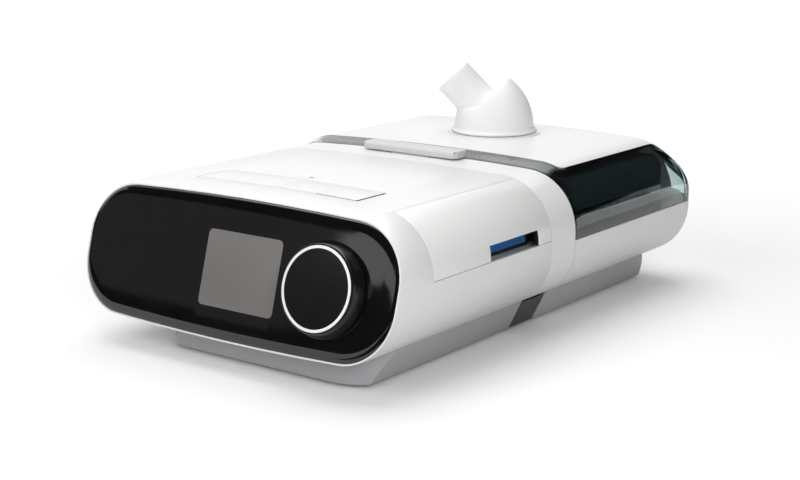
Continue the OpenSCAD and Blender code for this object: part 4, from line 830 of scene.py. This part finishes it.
# Lid latch
# A rounded bar in light grey polypropylene that lifts at its front edge. It turns on two short
# pins hidden in its ends, and its tongue drops into a pocket of the rear cover.
latch_pp = moulded("Light_grey_polypropylene", "#c9cacb", "#cfd0d1", 900, 0.32, 0.42, IOR=1.49)
latch = box_at("Lid_latch_bar", (61.3, 12.4, 3.9), (-1.05, 9.9, 83.75), 3.2, 6)
pick(latch, "edges", lambda e: all(v.co.z > 0.0856 and v.co.y < 0.0045 for v in e.verts))
bpy.ops.mesh.bevel(offset=0.0024, offset_type="OFFSET", segments=6)
pick(latch, "edges", lambda e: len(e.link_faces) == 2 and e.calc_face_angle(0) > 0.9)
bpy.ops.mesh.bevel(offset=0.0009, offset_type="OFFSET", segments=4)
close(latch, 50)
combine(latch, slab((-12, 4.6, 80.05), (12, 7.1, 83)), "UNION")
fit(latch, latch_pp, "latch_plastic", "latch", "lid_latch")
pins = rod_at("Latch_pivot_pins", 0.7, 7, (0, 0, 0), 24)
pick(pins, "faces", lambda f: abs(f.normal.z) > 0.9)
bpy.ops.mesh.bevel(offset=0.0002, offset_type="OFFSET", segments=2)
close(pins)
pins.data.transform(Matrix.Translation((0.0235, 0.0135, 0.0837)) @ Matrix.Rotation(math.pi / 2, 4, "Y"))
far_pin = pins.copy()
far_pin.data = pins.data.copy()
bpy.context.scene.collection.objects.link(far_pin)
far_pin.data.transform(Matrix.Translation((-0.0491, 0, 0)))
combine(pins, far_pin, "UNION")
fit(pins, zinc, "steel", "latch", "latch_pins")

# Display window
# A smoked acrylic window with rounded corners, bonded into the panel over the unlit liquid
# crystal display, which reads as a warm grey with a faint grid of picture elements; painted
# light makes the grey a little lighter towards the top.
screen_glass, tree, shader = new_material("Smoked_acrylic_over_LCD", Roughness=0.4, IOR=1.49)
place = add(tree, "ShaderNodeTexCoord")
# Painted light: the grey is a little lighter towards the top of the window
painted_light_height = add(tree, "ShaderNodeSeparateXYZ", {"Vector": place.outputs["Object"]})
rise = add(tree, "ShaderNodeMapRange", {"Value": painted_light_height.outputs["Z"], "From Min": 0.030,
    "From Max": 0.064})
tint = add(tree, "ShaderNodeMix", {"Factor": rise.outputs["Result"], "A": linear("#716e6c"),
    "B": linear("#767371")}, data_type="RGBA")
# Picture elements of 0.2 mm, drawn at 0.4 mm so that they show
grid = add(tree, "ShaderNodeTexChecker", {"Vector": place.outputs["Object"], "Scale": 2500.0})
dots = add(tree, "ShaderNodeMix", {"Factor": 0.04, "A": tint.outputs["Result"],
    "B": grid.outputs["Color"]}, data_type="RGBA", blend_type="OVERLAY")
link(tree, dots.outputs["Result"], shader, "Base Color")
screen = box_at("Display_glass", (*screen_size, 4.0), (*screen_place, -0.45), 2.6, 10)
pick(screen, "faces", lambda f: f.normal.z > 0.9)
bpy.ops.mesh.inset(thickness=0.0002, depth=0.00012)
close(screen)
screen.data.transform(panel_frame)
fit(screen, screen_glass, "display_window", "root", "screen_lens")
